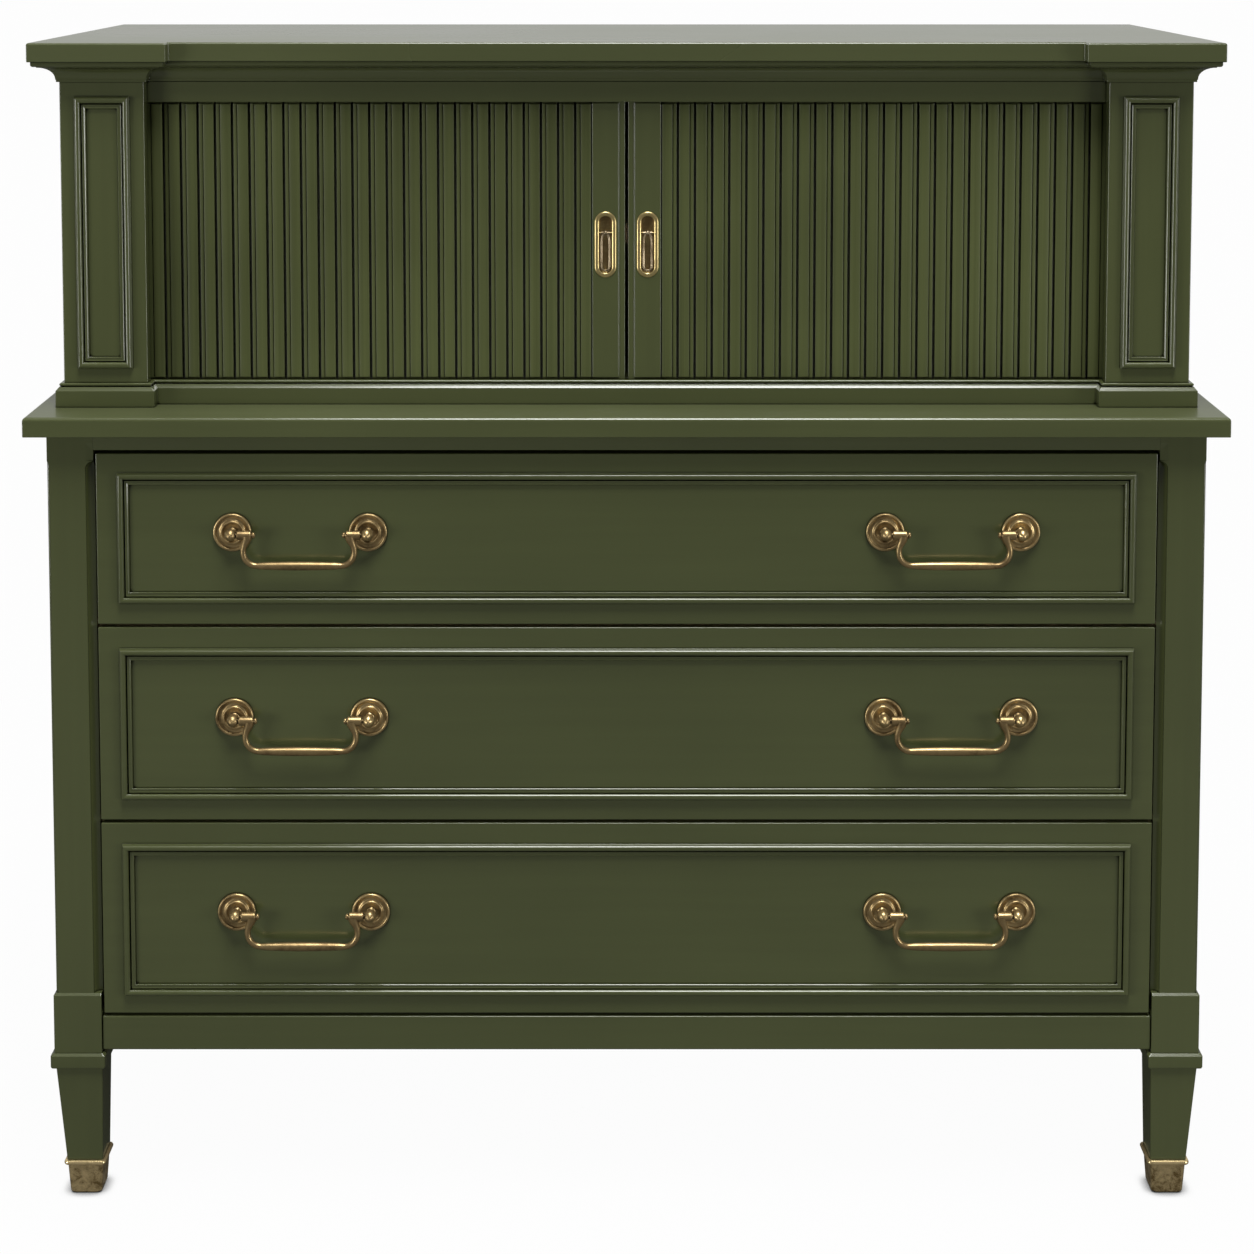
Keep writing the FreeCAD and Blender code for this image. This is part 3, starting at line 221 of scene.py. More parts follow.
def mirrored(parts, axis=0, middle=0.0):
    """The same shells in a mirror: a coordinate c along the axis becomes 2 * middle - c."""
    made = []
    for points, faces in parts:
        image = points.copy()
        image[:, axis] = 2 * middle - image[:, axis]
        made.append(shell(image, faces))
    return made


def make_piece(name, body, parts, finish, nodes=(), arris=0.0, steps=2):
    """One mesh object of several shells, in place of CAD nodes, riding on their body.

    With an arris its sharp edges are rounded to that width; without, its flats are kept flat.
    """
    firsts = np.cumsum([0] + [len(points) for points, faces in parts])
    blocks = [block + first for first, (points, faces) in zip(firsts, parts) for block in faces]
    corners = np.concatenate([block.ravel() for block in blocks]).astype(np.int32)
    counts = np.concatenate([np.full(len(block), block.shape[1]) for block in blocks])
    points = np.concatenate([points for points, faces in parts]) / 1000
    mesh = bpy.data.meshes.new(name)
    mesh.vertices.add(len(points))
    mesh.vertices.foreach_set("co", points.astype(np.float32).ravel())
    mesh.loops.add(len(corners))
    mesh.loops.foreach_set("vertex_index", corners)
    mesh.polygons.add(len(counts))
    mesh.polygons.foreach_set("loop_start", (np.cumsum(counts) - counts).astype(np.int32))
    mesh.update(calc_edges=True)
    return fitted(name, body, mesh, finish, nodes, arris, steps)


def fitted(name, body, mesh, finish, nodes, arris, steps):
    """The mesh as a finished object on its body."""
    sharp_from = np.radians(32)
    mesh.validate()
    mesh.polygons.foreach_set("use_smooth", np.ones(len(mesh.polygons), bool))
    mesh.set_sharp_from_angle(angle=sharp_from)
    mesh.materials.append(finish)
    made = bpy.data.objects.new(name, mesh)
    bpy.context.scene.collection.objects.link(made)
    if arris:
        rounding = made.modifiers.new("arris", "BEVEL")
        rounding.width = arris / 1000
        rounding.segments = steps
        rounding.limit_method = "ANGLE"
        rounding.angle_limit = sharp_from
        rounding.harden_normals = True
    else:
        flats = made.modifiers.new("flats", "WEIGHTED_NORMAL")
        flats.keep_sharp = True
    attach(made, body)
    if nodes:
        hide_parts(*nodes)
    return made


def with_painted_crease_shade(tree, colour, reach, darkest):
    """A colour, and a share of gloss, both darkened in creases as painted shade, where shade falls.

    Openness is the share of near surroundings within reach that a point sees, from 0 to 1.
    """
    openness = add_node(tree, "ShaderNodeAmbientOcclusion", {"Distance": reach}, samples=8).outputs["AO"]
    # Painted shade: colour and gloss fall towards darkest where little of the near surroundings is open.
    shade = add_node(tree, "ShaderNodeMapRange", {
        "Value": openness, "From Min": 0.45, "From Max": 0.75, "To Min": darkest, "To Max": 1.0,
    })
    shaded = add_node(tree, "ShaderNodeVectorMath", {
        0: colour, "Scale": shade.outputs[0],
    }, operation="SCALE")
    return shaded.outputs[0], shade.outputs[0]


def lacquer(name, stretch, streaks=1.0, dullness=0.19, gloss=1.0, tone=1.0):
    """Satin lacquer over fine straight grain that runs where the pattern is scaled least.

    Colour is a mix of two olives by a broad cloud and by the grain, further apart with stronger
    streaks; dullness grows a little with the cloud.
    """
    mid_olive, spread = np.array([0.0535, 0.062, 0.0226]) * tone, 0.12 * streaks
    made = bpy.data.materials.new(name)
    made.use_nodes = True
    made["slot"] = "green_lacquer"
    tree = made.node_tree
    tree.nodes.clear()
    spot = add_node(tree, "ShaderNodeTexCoord").outputs["Object"]
    drawn = add_node(tree, "ShaderNodeMapping", {"Vector": spot, "Scale": stretch})
    grain = add_node(tree, "ShaderNodeTexNoise", {
        "Vector": drawn.outputs[0], "Scale": 1.0, "Detail": 5.0, "Roughness": 0.62,
    })
    cloud = add_node(tree, "ShaderNodeTexNoise", {
        "Vector": spot, "Scale": 2.6, "Detail": 3.0, "Roughness": 0.5,
    })
    blend = add_node(tree, "ShaderNodeMath", {
        0: grain.outputs["Fac"], 1: 0.45, 2: cloud.outputs["Fac"],
    }, operation="MULTIPLY_ADD")
    olive = add_node(tree, "ShaderNodeValToRGB", {"Fac": blend.outputs[0]})
    olive.color_ramp.elements[0].position = 0.45
    olive.color_ramp.elements[1].position = 1.0
    for element, share in zip(olive.color_ramp.elements, (-spread, spread)):
        element.color = (*mid_olive * (1 + share), 1)
    matt = add_node(tree, "ShaderNodeMapRange", {
        "Value": cloud.outputs["Fac"], "From Min": 0.3, "From Max": 0.7,
        "To Min": dullness, "To Max": dullness + 0.06,
    })
    peel = add_node(tree, "ShaderNodeTexNoise", {"Vector": spot, "Scale": 420.0, "Detail": 2.0})
    relief = add_node(tree, "ShaderNodeMath", {
        0: peel.outputs["Fac"], 1: 0.35, 2: grain.outputs["Fac"],
    }, operation="MULTIPLY_ADD")
    bump = add_node(tree, "ShaderNodeBump", {
        "Height": relief.outputs[0], "Strength": 0.025, "Distance": 0.001,
    })
    # Painted shade: the olive and its gloss are darkened in creases and gaps, such as under the deck and
    # between the slats.
    colour, painted_shade_share = with_painted_crease_shade(tree, olive.outputs["Color"], reach=0.0034, darkest=0.0)
    level = add_node(tree, "ShaderNodeMath", {0: painted_shade_share, 1: 0.5 * gloss}, operation="MULTIPLY")
    coat = add_node(tree, "ShaderNodeMath", {0: painted_shade_share, 1: 0.25 * gloss}, operation="MULTIPLY")
    paint = add_node(tree, "ShaderNodeBsdfPrincipled", {
        "Base Color": colour, "Roughness": matt.outputs[0], "Normal": bump.outputs[0], "IOR": 1.46,
        "Specular IOR Level": level.outputs[0], "Coat Weight": coat.outputs[0], "Coat Roughness": 0.1,
    })
    add_node(tree, "ShaderNodeOutputMaterial", {"Surface": paint.outputs[0]})
    return made


upright_lacquer = lacquer("lacquer_upright_grain", (90, 90, 3))
level_lacquer = lacquer("lacquer_level_grain", (3, 90, 90))

body_front, post_back, case_middle = -231.75, -188.55, 7.75
post_inner, post_outer, block_proud = 498.8, 542.0, 2.2
block_outer, block_face = post_outer + block_proud, body_front - block_proud
collar_top, block_top, case_top = 141.0, 199.0, 737.0
inner_cove, outer_cove, cove_stop = 7.4, 2.4, 711.0
opening_top, chamfer_depth = 721.0, 1.7
cup_height, cup_grip, foot_top, foot_inset, overlap = 34.0, 3.0, 126.5, 1.2, 0.2
foot_tapers = {"front": (1.8, 8.5, 3.0, 4.0), "rear": (1.8, 8.5, 1.6, 8.0)}
collar_proud, bevel_in, bevel_down = 3.2, 2.15, 2.0
collar_steps = [(2.6, 126), (0.7, 126.9), (0, 128.6), (0, 138.9), (2.4, collar_top), (2.6, collar_top)]


def inset_levels(limits, steps):
    """Levels (x, x, y, y, z) of a rectangle drawn in by an inset at each height."""
    return [
        (limits[0] + inset, limits[1] - inset, limits[2] + inset, limits[3] - inset, height)
        for inset, height in steps
    ]


def coved_shaft():
    """The front shaft: a rectangle with a hollow quarter circle cut from each front corner.

    The circle's radius is R below the stop, and R * sqrt(1 - t * t) at share t of R above it.
    Over the inner hollow the corner is chamfered, up to a mitre with the frieze rail's chamfer.
    """
    steps, least_radius = 9, 0.35
    rise, radii = np.linspace(0, 1, steps), np.array([inner_cove, outer_cove])
    heights = np.concatenate([
        [block_top], cove_stop - inner_cove * (1 - rise), [cove_stop + 0.3, opening_top],
        opening_top + inner_cove * rise[1:], [case_top],
    ])
    lift = np.clip((heights[:, None] - (cove_stop - radii)) / radii, 0, 1)
    radii = np.maximum(radii * np.sqrt(1 - lift ** 2), least_radius)
    turn = np.linspace(0, np.pi / 2, steps)[None, :]
    inner, outer, flat = radii[:, :1], radii[:, 1:], np.ones((len(heights), 1))
    x = np.concatenate([
        post_inner + inner * np.sin(turn), post_outer - outer * np.cos(turn),
        post_outer * flat, post_inner * flat,
    ], 1)
    y = np.concatenate([
        body_front + inner * np.cos(turn), body_front + outer * np.sin(turn),
        post_back * flat, post_back * flat,
    ], 1)
    over = heights > cove_stop
    into = np.minimum(1 - rise, 1 - (heights[over, None] - opening_top) / inner_cove)
    x[over, :steps] = post_inner + inner_cove * rise
    y[over, :steps] = body_front + chamfer_depth * np.clip(into, 0, 1)
    return skin(np.stack([x, y, heights[:, None] + 0 * x], -1))


def leg_post(end):
    """The parts of a right post, and its foot's limits at the top of the cup.

    From its root the foot is drawn in by a taper on each side: inner, outer, front and back.
    """
    block_limits = np.array([post_inner, block_outer, block_face, post_back])
    root = block_limits + (0, -foot_inset, foot_inset, 0)
    tip = root + np.array(foot_tapers[end]) * (1, -1, 1, -1)
    foot = stack([(*tip, cup_height - cup_grip), (*tip, cup_height), (*root, foot_top)], corner=1.2)
    collar_limits = block_limits + collar_proud * np.array([-1, 1, -1, 1])
    collar = stack(inset_levels(collar_limits, collar_steps), corner=1.4)
    block = stack([
        (*block_limits, collar_top - overlap), (*block_limits, block_top - bevel_down),
        (*block_limits + (0, -bevel_in, bevel_in, 0), block_top),
    ], corner=1.0)
    if end == "front":
        shaft = coved_shaft()
    else:
        shaft_limits = (post_inner, post_outer, body_front, post_back)
        shaft = stack([(*shaft_limits, block_top - overlap), (*shaft_limits, case_top)])
    return [shaft, block, collar, foot], tip


foot_tips = {}
for end in ("front", "rear"):
    parts, foot_tips[end] = leg_post(end)
    if end == "rear":
        parts = mirrored(parts, axis=1, middle=case_middle)
    make_piece(f"{end}_right_leg_post", "carcass", parts, upright_lacquer, [f"{end}_right_post"])
    make_piece(f"{end}_left_leg_post", "carcass", mirrored(parts), upright_lacquer, [f"{end}_left_post"])


# The cups on the feet: cast brass, open at the top, with a rounded rim. They are pressed onto
# the tapered feet. The brass has aged to a mottled brown; the rim is rubbed bright and carries a painted
# highlight, and below it the cup is a little darker.
def brass(name, dull, bright, mottle=46.0, rim=None):
    """Aged brass: dull and bright metal mixed by patches at two sizes; dull parts are rougher.

    A rim (axis, start, end, dulling) is rubbed bright past its end, with a painted highlight there, and
    before its start it is darker by the dulling share.
    """
    made = bpy.data.materials.new(name)
    made.use_nodes = True
    made["slot"] = "antique_brass"
    tree = made.node_tree
    tree.nodes.clear()
    spot = add_node(tree, "ShaderNodeTexCoord").outputs["Object"]
    patches = add_node(tree, "ShaderNodeTexNoise", {
        "Vector": spot, "Scale": mottle, "Detail": 4.0, "Roughness": 0.6, "Distortion": 0.6,
    })
    flecks = add_node(tree, "ShaderNodeTexNoise", {
        "Vector": spot, "Scale": mottle * 9, "Detail": 3.0, "Roughness": 0.7,
    })
    blend = add_node(tree, "ShaderNodeMath", {
        0: flecks.outputs["Fac"], 1: 0.4, 2: patches.outputs["Fac"],
    }, operation="MULTIPLY_ADD")
    share = add_node(tree, "ShaderNodeMapRange", {
        "Value": blend.outputs[0], "From Min": 0.5, "From Max": 0.88, "To Min": 0.0, "To Max": 1.0,
    })
    if rim:
        # Painted highlight: past the end the metal is made brighter, over its rubbed brightness.
        axis, start, end, dulling = rim
        rubbed_and_lit = add_node(tree, "ShaderNodeMapRange", {
            "Value": add_node(tree, "ShaderNodeSeparateXYZ", {0: spot}).outputs[axis],
            "From Min": start, "From Max": end, "To Min": dulling, "To Max": 0.45,
        })
        share = add_node(tree, "ShaderNodeMath", {
            0: share.outputs[0], 1: rubbed_and_lit.outputs[0],
        }, operation="ADD", use_clamp=True)
    metal = add_node(tree, "ShaderNodeValToRGB", {"Fac": share.outputs[0]})
    metal.color_ramp.elements[0].color = (*dull, 1)
    metal.color_ramp.elements[1].color = (*bright, 1)
    middle = metal.color_ramp.elements.new(0.45)
    middle.color = (*0.4 * np.array(dull) + 0.6 * np.array(bright), 1)
    gloss = add_node(tree, "ShaderNodeMapRange", {
        "Value": share.outputs[0], "From Min": 0.0, "From Max": 1.0, "To Min": 0.45, "To Max": 0.28,
    })
    bump = add_node(tree, "ShaderNodeBump", {
        "Height": patches.outputs["Fac"], "Strength": 0.05, "Distance": 0.0006,
    })
    # Painted shade: the metal is darkened in its creases and where it meets other parts.
    colour = with_painted_crease_shade(tree, metal.outputs["Color"], reach=0.003, darkest=0.05)[0]
    cast = add_node(tree, "ShaderNodeBsdfPrincipled", {
        "Base Color": colour, "Metallic": 0.85, "Roughness": gloss.outputs[0], "Normal": bump.outputs[0],
    })
    add_node(tree, "ShaderNodeOutputMaterial", {"Surface": cast.outputs[0]})
    return made


# Painted highlight on the rim above 29.8 mm, which is also rubbed; below 28.8 mm the cup is a little darker.
foot_brass = brass("foot_brass", (0.16, 0.105, 0.036), (0.72, 0.56, 0.29), mottle=120.0,
                   rim=("Z", 0.0288, 0.0298, -0.15))
foot_cup_steps = [
    (4.2, 0), (2.8, 0.6), (1.9, 2.0), (0.9, 15), (0, 29.0), (-1.4, 29.2), (-2.5, 30.0), (-3.0, 31.2),
    (-3.0, 32.2), (-2.5, 33.3), (-1.4, cup_height), (0.4, cup_height),
]
cups = []
for end, tip in foot_tips.items():
    cup = [stack(inset_levels(tip, foot_cup_steps), corner=4.5, steps=5)]
    if end == "rear":
        cup = mirrored(cup, axis=1, middle=case_middle)
    cups += cup + mirrored(cup)
make_piece("foot_cups", "carcass", cups, foot_brass, ["brass_sabots"])


# The lower case: side panels set back a little from the posts' outer faces, a frieze rail with
# a chamfered lower edge and a bottom rail, all solid wood, glued and lacquered in place.
def limits(node):
    """A node's lowest and highest corners in millimetres."""
    return tuple(np.array(corner) * 1000 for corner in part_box(node))


def board(low, high):
    """A rectangular board, from the eight choices between its lowest and highest limits."""
    choice = np.indices((2, 2, 2)).reshape(3, -1).T
    faces = np.array([[0, 1, 3, 2], [4, 6, 7, 5], [0, 4, 5, 1], [2, 3, 7, 6], [0, 2, 6, 4], [1, 5, 7, 3]])
    return shell(np.where(choice, high, low).astype(float), [faces])


make_piece("left_case_side", "carcass", [board(*limits("left_side_panel"))], upright_lacquer,
           ["left_side_panel"], arris=0.6)
make_piece("right_case_side", "carcass", [board(*limits("right_side_panel"))], upright_lacquer,
           ["right_side_panel"], arris=0.6)
rail_low, rail_high = limits("frieze_rail")
rail_section = np.array([
    (rail_low[1], rail_high[2]), (rail_low[1], opening_top + inner_cove),
    (rail_low[1] + chamfer_depth, rail_low[2]), (rail_high[1], rail_low[2]), (rail_high[1], rail_high[2]),
])
rail = np.stack([np.insert(rail_section, 0, x, axis=1) for x in (rail_low[0], rail_high[0])])
make_piece("case_frieze_rail", "carcass", [skin(rail)], level_lacquer, ["frieze_rail"], arris=0.3)
make_piece("case_bottom_rail", "carcass", [board(*limits("bottom_rail"))], level_lacquer,
           ["bottom_rail"], arris=1.5, steps=3)


# Behind them stand parts of plain wood that shows only when a drawer or door is open: runners,
# dividers, liners, shelf and cleats, planed and sealed, and thin boards for the two backs.
def plain_wood(name, slot, pale, dark, stretch):
    """Sealed wood: rings of a stretched noise folded by a sine give the figure, fine noise the pores."""
    made = bpy.data.materials.new(name)
    made.use_nodes = True
    made["slot"] = slot
    tree = made.node_tree
    tree.nodes.clear()
    spot = add_node(tree, "ShaderNodeTexCoord").outputs["Object"]
    drawn = add_node(tree, "ShaderNodeMapping", {"Vector": spot, "Scale": stretch})
    rings = add_node(tree, "ShaderNodeTexNoise", {
        "Vector": drawn.outputs[0], "Scale": 0.35, "Detail": 2.0, "Roughness": 0.5, "Distortion": 0.3,
    })
    folded = add_node(tree, "ShaderNodeMath", {0: rings.outputs["Fac"], 1: 46.0}, operation="MULTIPLY")
    figure = add_node(tree, "ShaderNodeMath", {0: folded.outputs[0]}, operation="SINE")
    pores = add_node(tree, "ShaderNodeTexNoise", {
        "Vector": drawn.outputs[0], "Scale": 4.0, "Detail": 5.0, "Roughness": 0.7,
    })
    blend = add_node(tree, "ShaderNodeMath", {
        0: figure.outputs[0], 1: 0.16, 2: pores.outputs["Fac"],
    }, operation="MULTIPLY_ADD")
    colour = add_node(tree, "ShaderNodeValToRGB", {"Fac": blend.outputs[0]})
    colour.color_ramp.elements[0].position = 0.25
    colour.color_ramp.elements[0].color = (*dark, 1)
    colour.color_ramp.elements[1].position = 0.75
    colour.color_ramp.elements[1].color = (*pale, 1)
    bump = add_node(tree, "ShaderNodeBump", {
        "Height": blend.outputs[0], "Strength": 0.2, "Distance": 0.001,
    })
    sealed = add_node(tree, "ShaderNodeBsdfPrincipled", {
        "Base Color": colour.outputs["Color"], "Roughness": 0.52, "Normal": bump.outputs[0],
    })
    add_node(tree, "ShaderNodeOutputMaterial", {"Surface": sealed.outputs[0]})
    return made


def dress(node, finish):
    """A carried-over CAD node in its finish."""
    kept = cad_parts[node]
    kept.data.materials.clear()
    kept.data.materials.append(finish)


pale_maple, dark_maple = (0.5, 0.35, 0.19), (0.36, 0.235, 0.115)
maple_across = plain_wood("maple_across", "drawer_wood", pale_maple, dark_maple, (6, 90, 90))
maple_deep = plain_wood("maple_deep", "drawer_wood", pale_maple, dark_maple, (90, 6, 90))
back_ply = plain_wood("back_ply", "back_board", (0.36, 0.25, 0.14), (0.23, 0.15, 0.08), (60, 60, 5))
for node in ("drawer_dividers", "shelf"):
    dress(node, maple_across)
for node in ("drawer_runners", "pocket_liners", "shelf_cleats"):
    dress(node, maple_deep)
for node in ("lower_back_panel", "upper_back_panel"):
    dress(node, back_ply)


# The drawers: a solid front with its edges just eased, and a mitred frame of moulding glued to
# it: a raised bead, a quirk, a shallow cove and a small inner fillet. The boxes are of maple.
def arc(middle, radius, start, end, steps=6):
    """Points round a circle in a profile: middle + radius * (cos, sin), angles in degrees."""
    turn = np.radians(np.linspace(start, end, steps))
    return np.stack([middle[0] + radius * np.cos(turn), middle[1] + radius * np.sin(turn)], 1)


def carried(profile, path, up, closed):
    """A moulding whose profile (across, out) follows a path of straight lengths.

    At a corner the profile lies in the mitre: across runs along (a + b) / (1 + a . b), where a
    and b are the two lengths' ways across, each the cross product of up and the length's way.
    """
    path, up = np.array(path, float), np.array(up, float)
    along = np.roll(path, -1, 0) - path
    along /= np.linalg.norm(along, axis=1)[:, None]
    if not closed:
        along[-1] = along[-2]
    across = np.cross(up, along)
    before = np.roll(across, 1, 0)
    if not closed:
        before[0] = across[0]
    mitre = (across + before) / (1 + np.sum(across * before, 1))[:, None]
    points = path[:, None] + mitre[:, None] * profile[None, :, :1] + up * profile[None, :, 1:]
    return skin(points, loop=closed)


frame_profile = np.concatenate([
    [(0, 0), (0, 1.2), (0.5, 1.4)], arc((3.6, 3.1), 2.9, 200, 0, 12),
    [(6.5, 2.4), (6.7, 0.7), (7.6, 0.7), (7.7, 2.6)], arc((9.0, 4.1), 1.9, 230, 300, 5),
    [(10.4, 2.7), (11.1, 2.9), (11.5, 2.4), (11.5, 0)],
])
frame_inset, frame_end_inset = 19.6, 17.6


def front_frame(low, high, face):
    """The mitred frame in a rectangle of (x, z) limits on a front face."""
    corners = [(low[0], low[1]), (high[0], low[1]), (high[0], high[1]), (low[0], high[1])]
    return carried(frame_profile, [(x, face, z) for x, z in corners], (0, -1, 0), closed=True)


for drawer in (1, 2, 3):
    low, high = limits(f"drawer_{drawer}_front")
    make_piece(f"drawer_{drawer}_face", f"drawer_{drawer}", [board(low, high)], level_lacquer,
               [f"drawer_{drawer}_front"], arris=1.1, steps=3)
    below = frame_end_inset if drawer == 3 else frame_inset
    above = frame_end_inset if drawer == 1 else frame_inset
    moulding = front_frame(
        (low[0] + frame_inset, low[2] + below), (high[0] - frame_inset, high[2] - above), body_front
    )
    make_piece(f"drawer_{drawer}_moulding", f"drawer_{drawer}", [moulding], level_lacquer,
               [f"drawer_{drawer}_frame"], arris=0.15)
    dress(f"drawer_{drawer}_box", maple_deep)
    dress(f"drawer_{drawer}_bottom_panel", maple_across)


# The pulls: turned rosettes with a rolled rim and a second ring, each with a ball post screwed
# through it, and a cast bail hung between the two. Barrels on its arms turn on the posts' pins.
def turned(profile, spot, way=(0, -1, 0), sides=40):
    """A turning: at each (radius, reach) a ring of spot + way * reach + radius * (cos, sin)."""
    way = np.array(way, float)
    first = np.cross(way, (0, 0, 1))
    second = np.cross(way, first)
    turn = np.linspace(0, 2 * np.pi, sides, endpoint=False)[None, :, None]
    radius, reach = np.array(profile, float).T[:, :, None, None]
    return skin(np.array(spot) + way * reach + radius * (first * np.cos(turn) + second * np.sin(turn)))


def bar(path, radii, sides=14):
    """A round bar in an upright plane: at each point a ring square to the way through it."""
    path = np.array(path, float)
    way = np.gradient(path, axis=0)
    way /= np.linalg.norm(way, axis=1)[:, None]
    across = np.cross(way, (0, 1, 0))
    turn = np.linspace(0, 2 * np.pi, sides, endpoint=False)[None, :, None]
    radii = np.array(radii, float)[:, None, None]
    rings = across[:, None] * np.cos(turn) + np.array([0, 1, 0]) * np.sin(turn)
    return skin(path[:, None] + radii * rings)


rosette_brass = brass("rosette_brass", (0.15, 0.10, 0.042), (0.50, 0.365, 0.17), mottle=30.0)
bail_brass = brass("bail_brass", (0.13, 0.085, 0.036), (0.35, 0.25, 0.115), mottle=30.0)
pull_offset, pull_rise, rosette_offset, axis_reach = 305.5, 7.0, 63.5, 14.0
rosette_profile = np.concatenate([
    [(17.2, 0), (17.9, 0.6)], arc((16.5, 2.4), 1.5, -10, 190, 9),
    [(14.8, 1.5), (13.6, 1.1), (12.2, 1.3), (11.4, 1.9)], arc((10.0, 3.0), 1.4, 10, 190, 8),
    [(8.3, 1.6), (7.0, 1.0), (5.0, 1.0), (3.4, 1.0)],
])
post_profile = np.concatenate([
    [(4.4, 1.2), (4.4, 2.4), (3.4, 3.2), (2.9, 4.6), (2.9, 7.2), (3.3, 8.2), (3.5, 8.9)],
    arc((0, axis_reach), 5.5, -56, 62, 12),
    [(2.1, 19.2), (2.4, 19.8), (2.2, 20.8), (1.3, 21.4), (0.3, 21.5)],
])


def bail():
    """The bail about its own axis: arms, round bends and a grip that swells to its middle."""
    arm, bend, drop = 51.8, 13.0, 29.0
    turn = np.linspace(0, np.pi / 2, 10)
    corner = np.stack([arm - bend + bend * np.cos(turn), bend - drop - bend * np.sin(turn)], 1)
    grip = np.linspace(arm - bend, 0, 9)[1:]
    flare = [(47.8, -0.5), (48.0, -2.6), (48.7, -5.0), (49.9, -7.6), (51.0, -10.4), (51.7, -13.4)]
    half = np.concatenate([flare, corner, np.stack([grip, 0 * grip - drop], 1)])
    half_radii = np.concatenate([
        [5.0, 4.8, 4.3, 3.6, 3.1, 2.85], np.linspace(2.8, 2.9, 10),
        3.3 + 0.9 * np.cos(grip / (arm - bend) * np.pi / 2),
    ])
    path = np.concatenate([half, half[-2::-1] * (-1, 1)])
    path = np.stack([path[:, 0], 0 * path[:, 0], path[:, 1]], 1)
    parts = [bar(path, np.concatenate([half_radii, half_radii[-2::-1]]))]
    barrel = np.concatenate([
        [(0.4, 0), (3.2, 0)], arc((3.3, 0.9), 0.9, -60, 0, 3), [(4.25, 5), (4.25, 11.6)],
        arc((3.3, 12.6), 0.95, 0, 70, 4), [(2.5, 13.7)], arc((1.2, 15.4), 1.7, -50, 80, 7), [(0.4, 17.1)],
    ])
    barrel_start, pin_start, pin_radius, pin_length = 57.6, 57.2, 2.2, 4.5
    pin_profile = [(pin_radius, 0), (pin_radius, pin_length)]
    for side in (-1, 1):
        parts.append(turned(barrel, (side * barrel_start, 0, 0), (-side, 0, 0), sides=20))
        parts.append(turned(pin_profile, (side * pin_start, 0, 0), (side, 0, 0), sides=16))
    return parts


bail_parts = bail()
for drawer in (1, 2, 3):
    low, high = limits(f"drawer_{drawer}_front")
    level = (low[2] + high[2]) / 2 + pull_rise
    plates = []
    for pull in (-pull_offset, pull_offset):
        for across in (pull - rosette_offset, pull + rosette_offset):
            plates.append(turned(rosette_profile, (across, body_front, level)))
            plates.append(turned(post_profile, (across, body_front, level), sides=24))
    make_piece(f"drawer_{drawer}_rosettes", f"drawer_{drawer}", plates, rosette_brass,
               [f"drawer_{drawer}_pull_plates"])
    for side, sign in (("left", -1), ("right", 1)):
        hung = np.array([sign * pull_offset, body_front - axis_reach, level])
        handle = [(points + hung, faces) for points, faces in bail_parts]
        make_piece(f"drawer_{drawer}_{side}_handle", f"bail_{drawer}_{side}", handle, bail_brass,
                   [f"drawer_{drawer}_{side}_bail"])


# The deck: one wide board that covers the case and carries the cabinet, the edges round its top
# well rounded and the others just eased. Its top is handled most, and is rubbed duller.
def duller_on_top(finish, top, dulling):
    """More roughness on the flat of a top that lies at the given height."""
    starts, full = (top - 0.3) / 1000, (top - 0.1) / 1000
    tree = finish.node_tree
    paint = next(part for part in tree.nodes if part.type == "BSDF_PRINCIPLED")
    spot = add_node(tree, "ShaderNodeTexCoord").outputs["Object"]
    on_top = add_node(tree, "ShaderNodeMapRange", {
        "Value": add_node(tree, "ShaderNodeSeparateXYZ", {0: spot}).outputs["Z"],
        "From Min": starts, "From Max": full, "To Min": 0.0, "To Max": dulling,
    })
    dulled = add_node(tree, "ShaderNodeMath", {
        0: on_top.outputs[0], 1: paint.inputs["Roughness"].links[0].from_socket,
    }, operation="ADD")
    tree.links.new(dulled.outputs[0], paint.inputs["Roughness"])
    return finish


def most_round_on_top(made, share):
    """The arris is full on the edges round a board's top, and a share of that on its others."""
    mesh = made.data
    places = np.empty(3 * len(mesh.vertices), np.float32)
    ends = np.empty(2 * len(mesh.edges), np.int32)
    mesh.vertices.foreach_get("co", places)
    mesh.edges.foreach_get("vertices", ends)
    heights = places[2::3][ends.reshape(-1, 2)].min(1)
    weights = np.where(heights > heights.max() - 0.0001, 1.0, share).astype(np.float32)
    mesh.attributes.new("bevel_weight_edge", "FLOAT", "EDGE").data.foreach_set("value", weights)
    made.modifiers["arris"].limit_method = "WEIGHT"


low, high = limits("deck")
deck_lacquer = duller_on_top(lacquer("lacquer_deck", (3, 90, 90)), high[2], 0.24)
deck = make_piece("deck_board", "carcass", [board(low, high)], deck_lacquer, ["deck"], arris=3.4, steps=6)
most_round_on_top(deck, 0.25)


# The cabinet's sides and the pilasters in front of them, plain boards glued edge to face, each
# pilaster with a mitred frame of the drawers' moulding on its face.
for side in ("left", "right"):
    make_piece(f"{side}_cabinet_side", "carcass", [board(*limits(f"upper_{side}_side"))], upright_lacquer,
               [f"upper_{side}_side"], arris=0.6)
    make_piece(f"{side}_pilaster_board", "carcass", [board(*limits(f"{side}_pilaster"))], upright_lacquer,
               [f"{side}_pilaster"], arris=1.0)
low, high = limits("right_pilaster")
frames_low, frames_high = limits("pilaster_frames")
pilaster_front, pilaster_inner, pilaster_outer = low[1], low[0], high[0]
pilaster_margin = 13.5
pilaster_frame = front_frame(
    (pilaster_inner + pilaster_margin, frames_low[2]), (pilaster_outer - pilaster_margin, frames_high[2]),
    pilaster_front,
)
make_piece("pilaster_mouldings", "carcass", [pilaster_frame, *mirrored([pilaster_frame])], upright_lacquer,
           ["pilaster_frames"], arris=0.15)


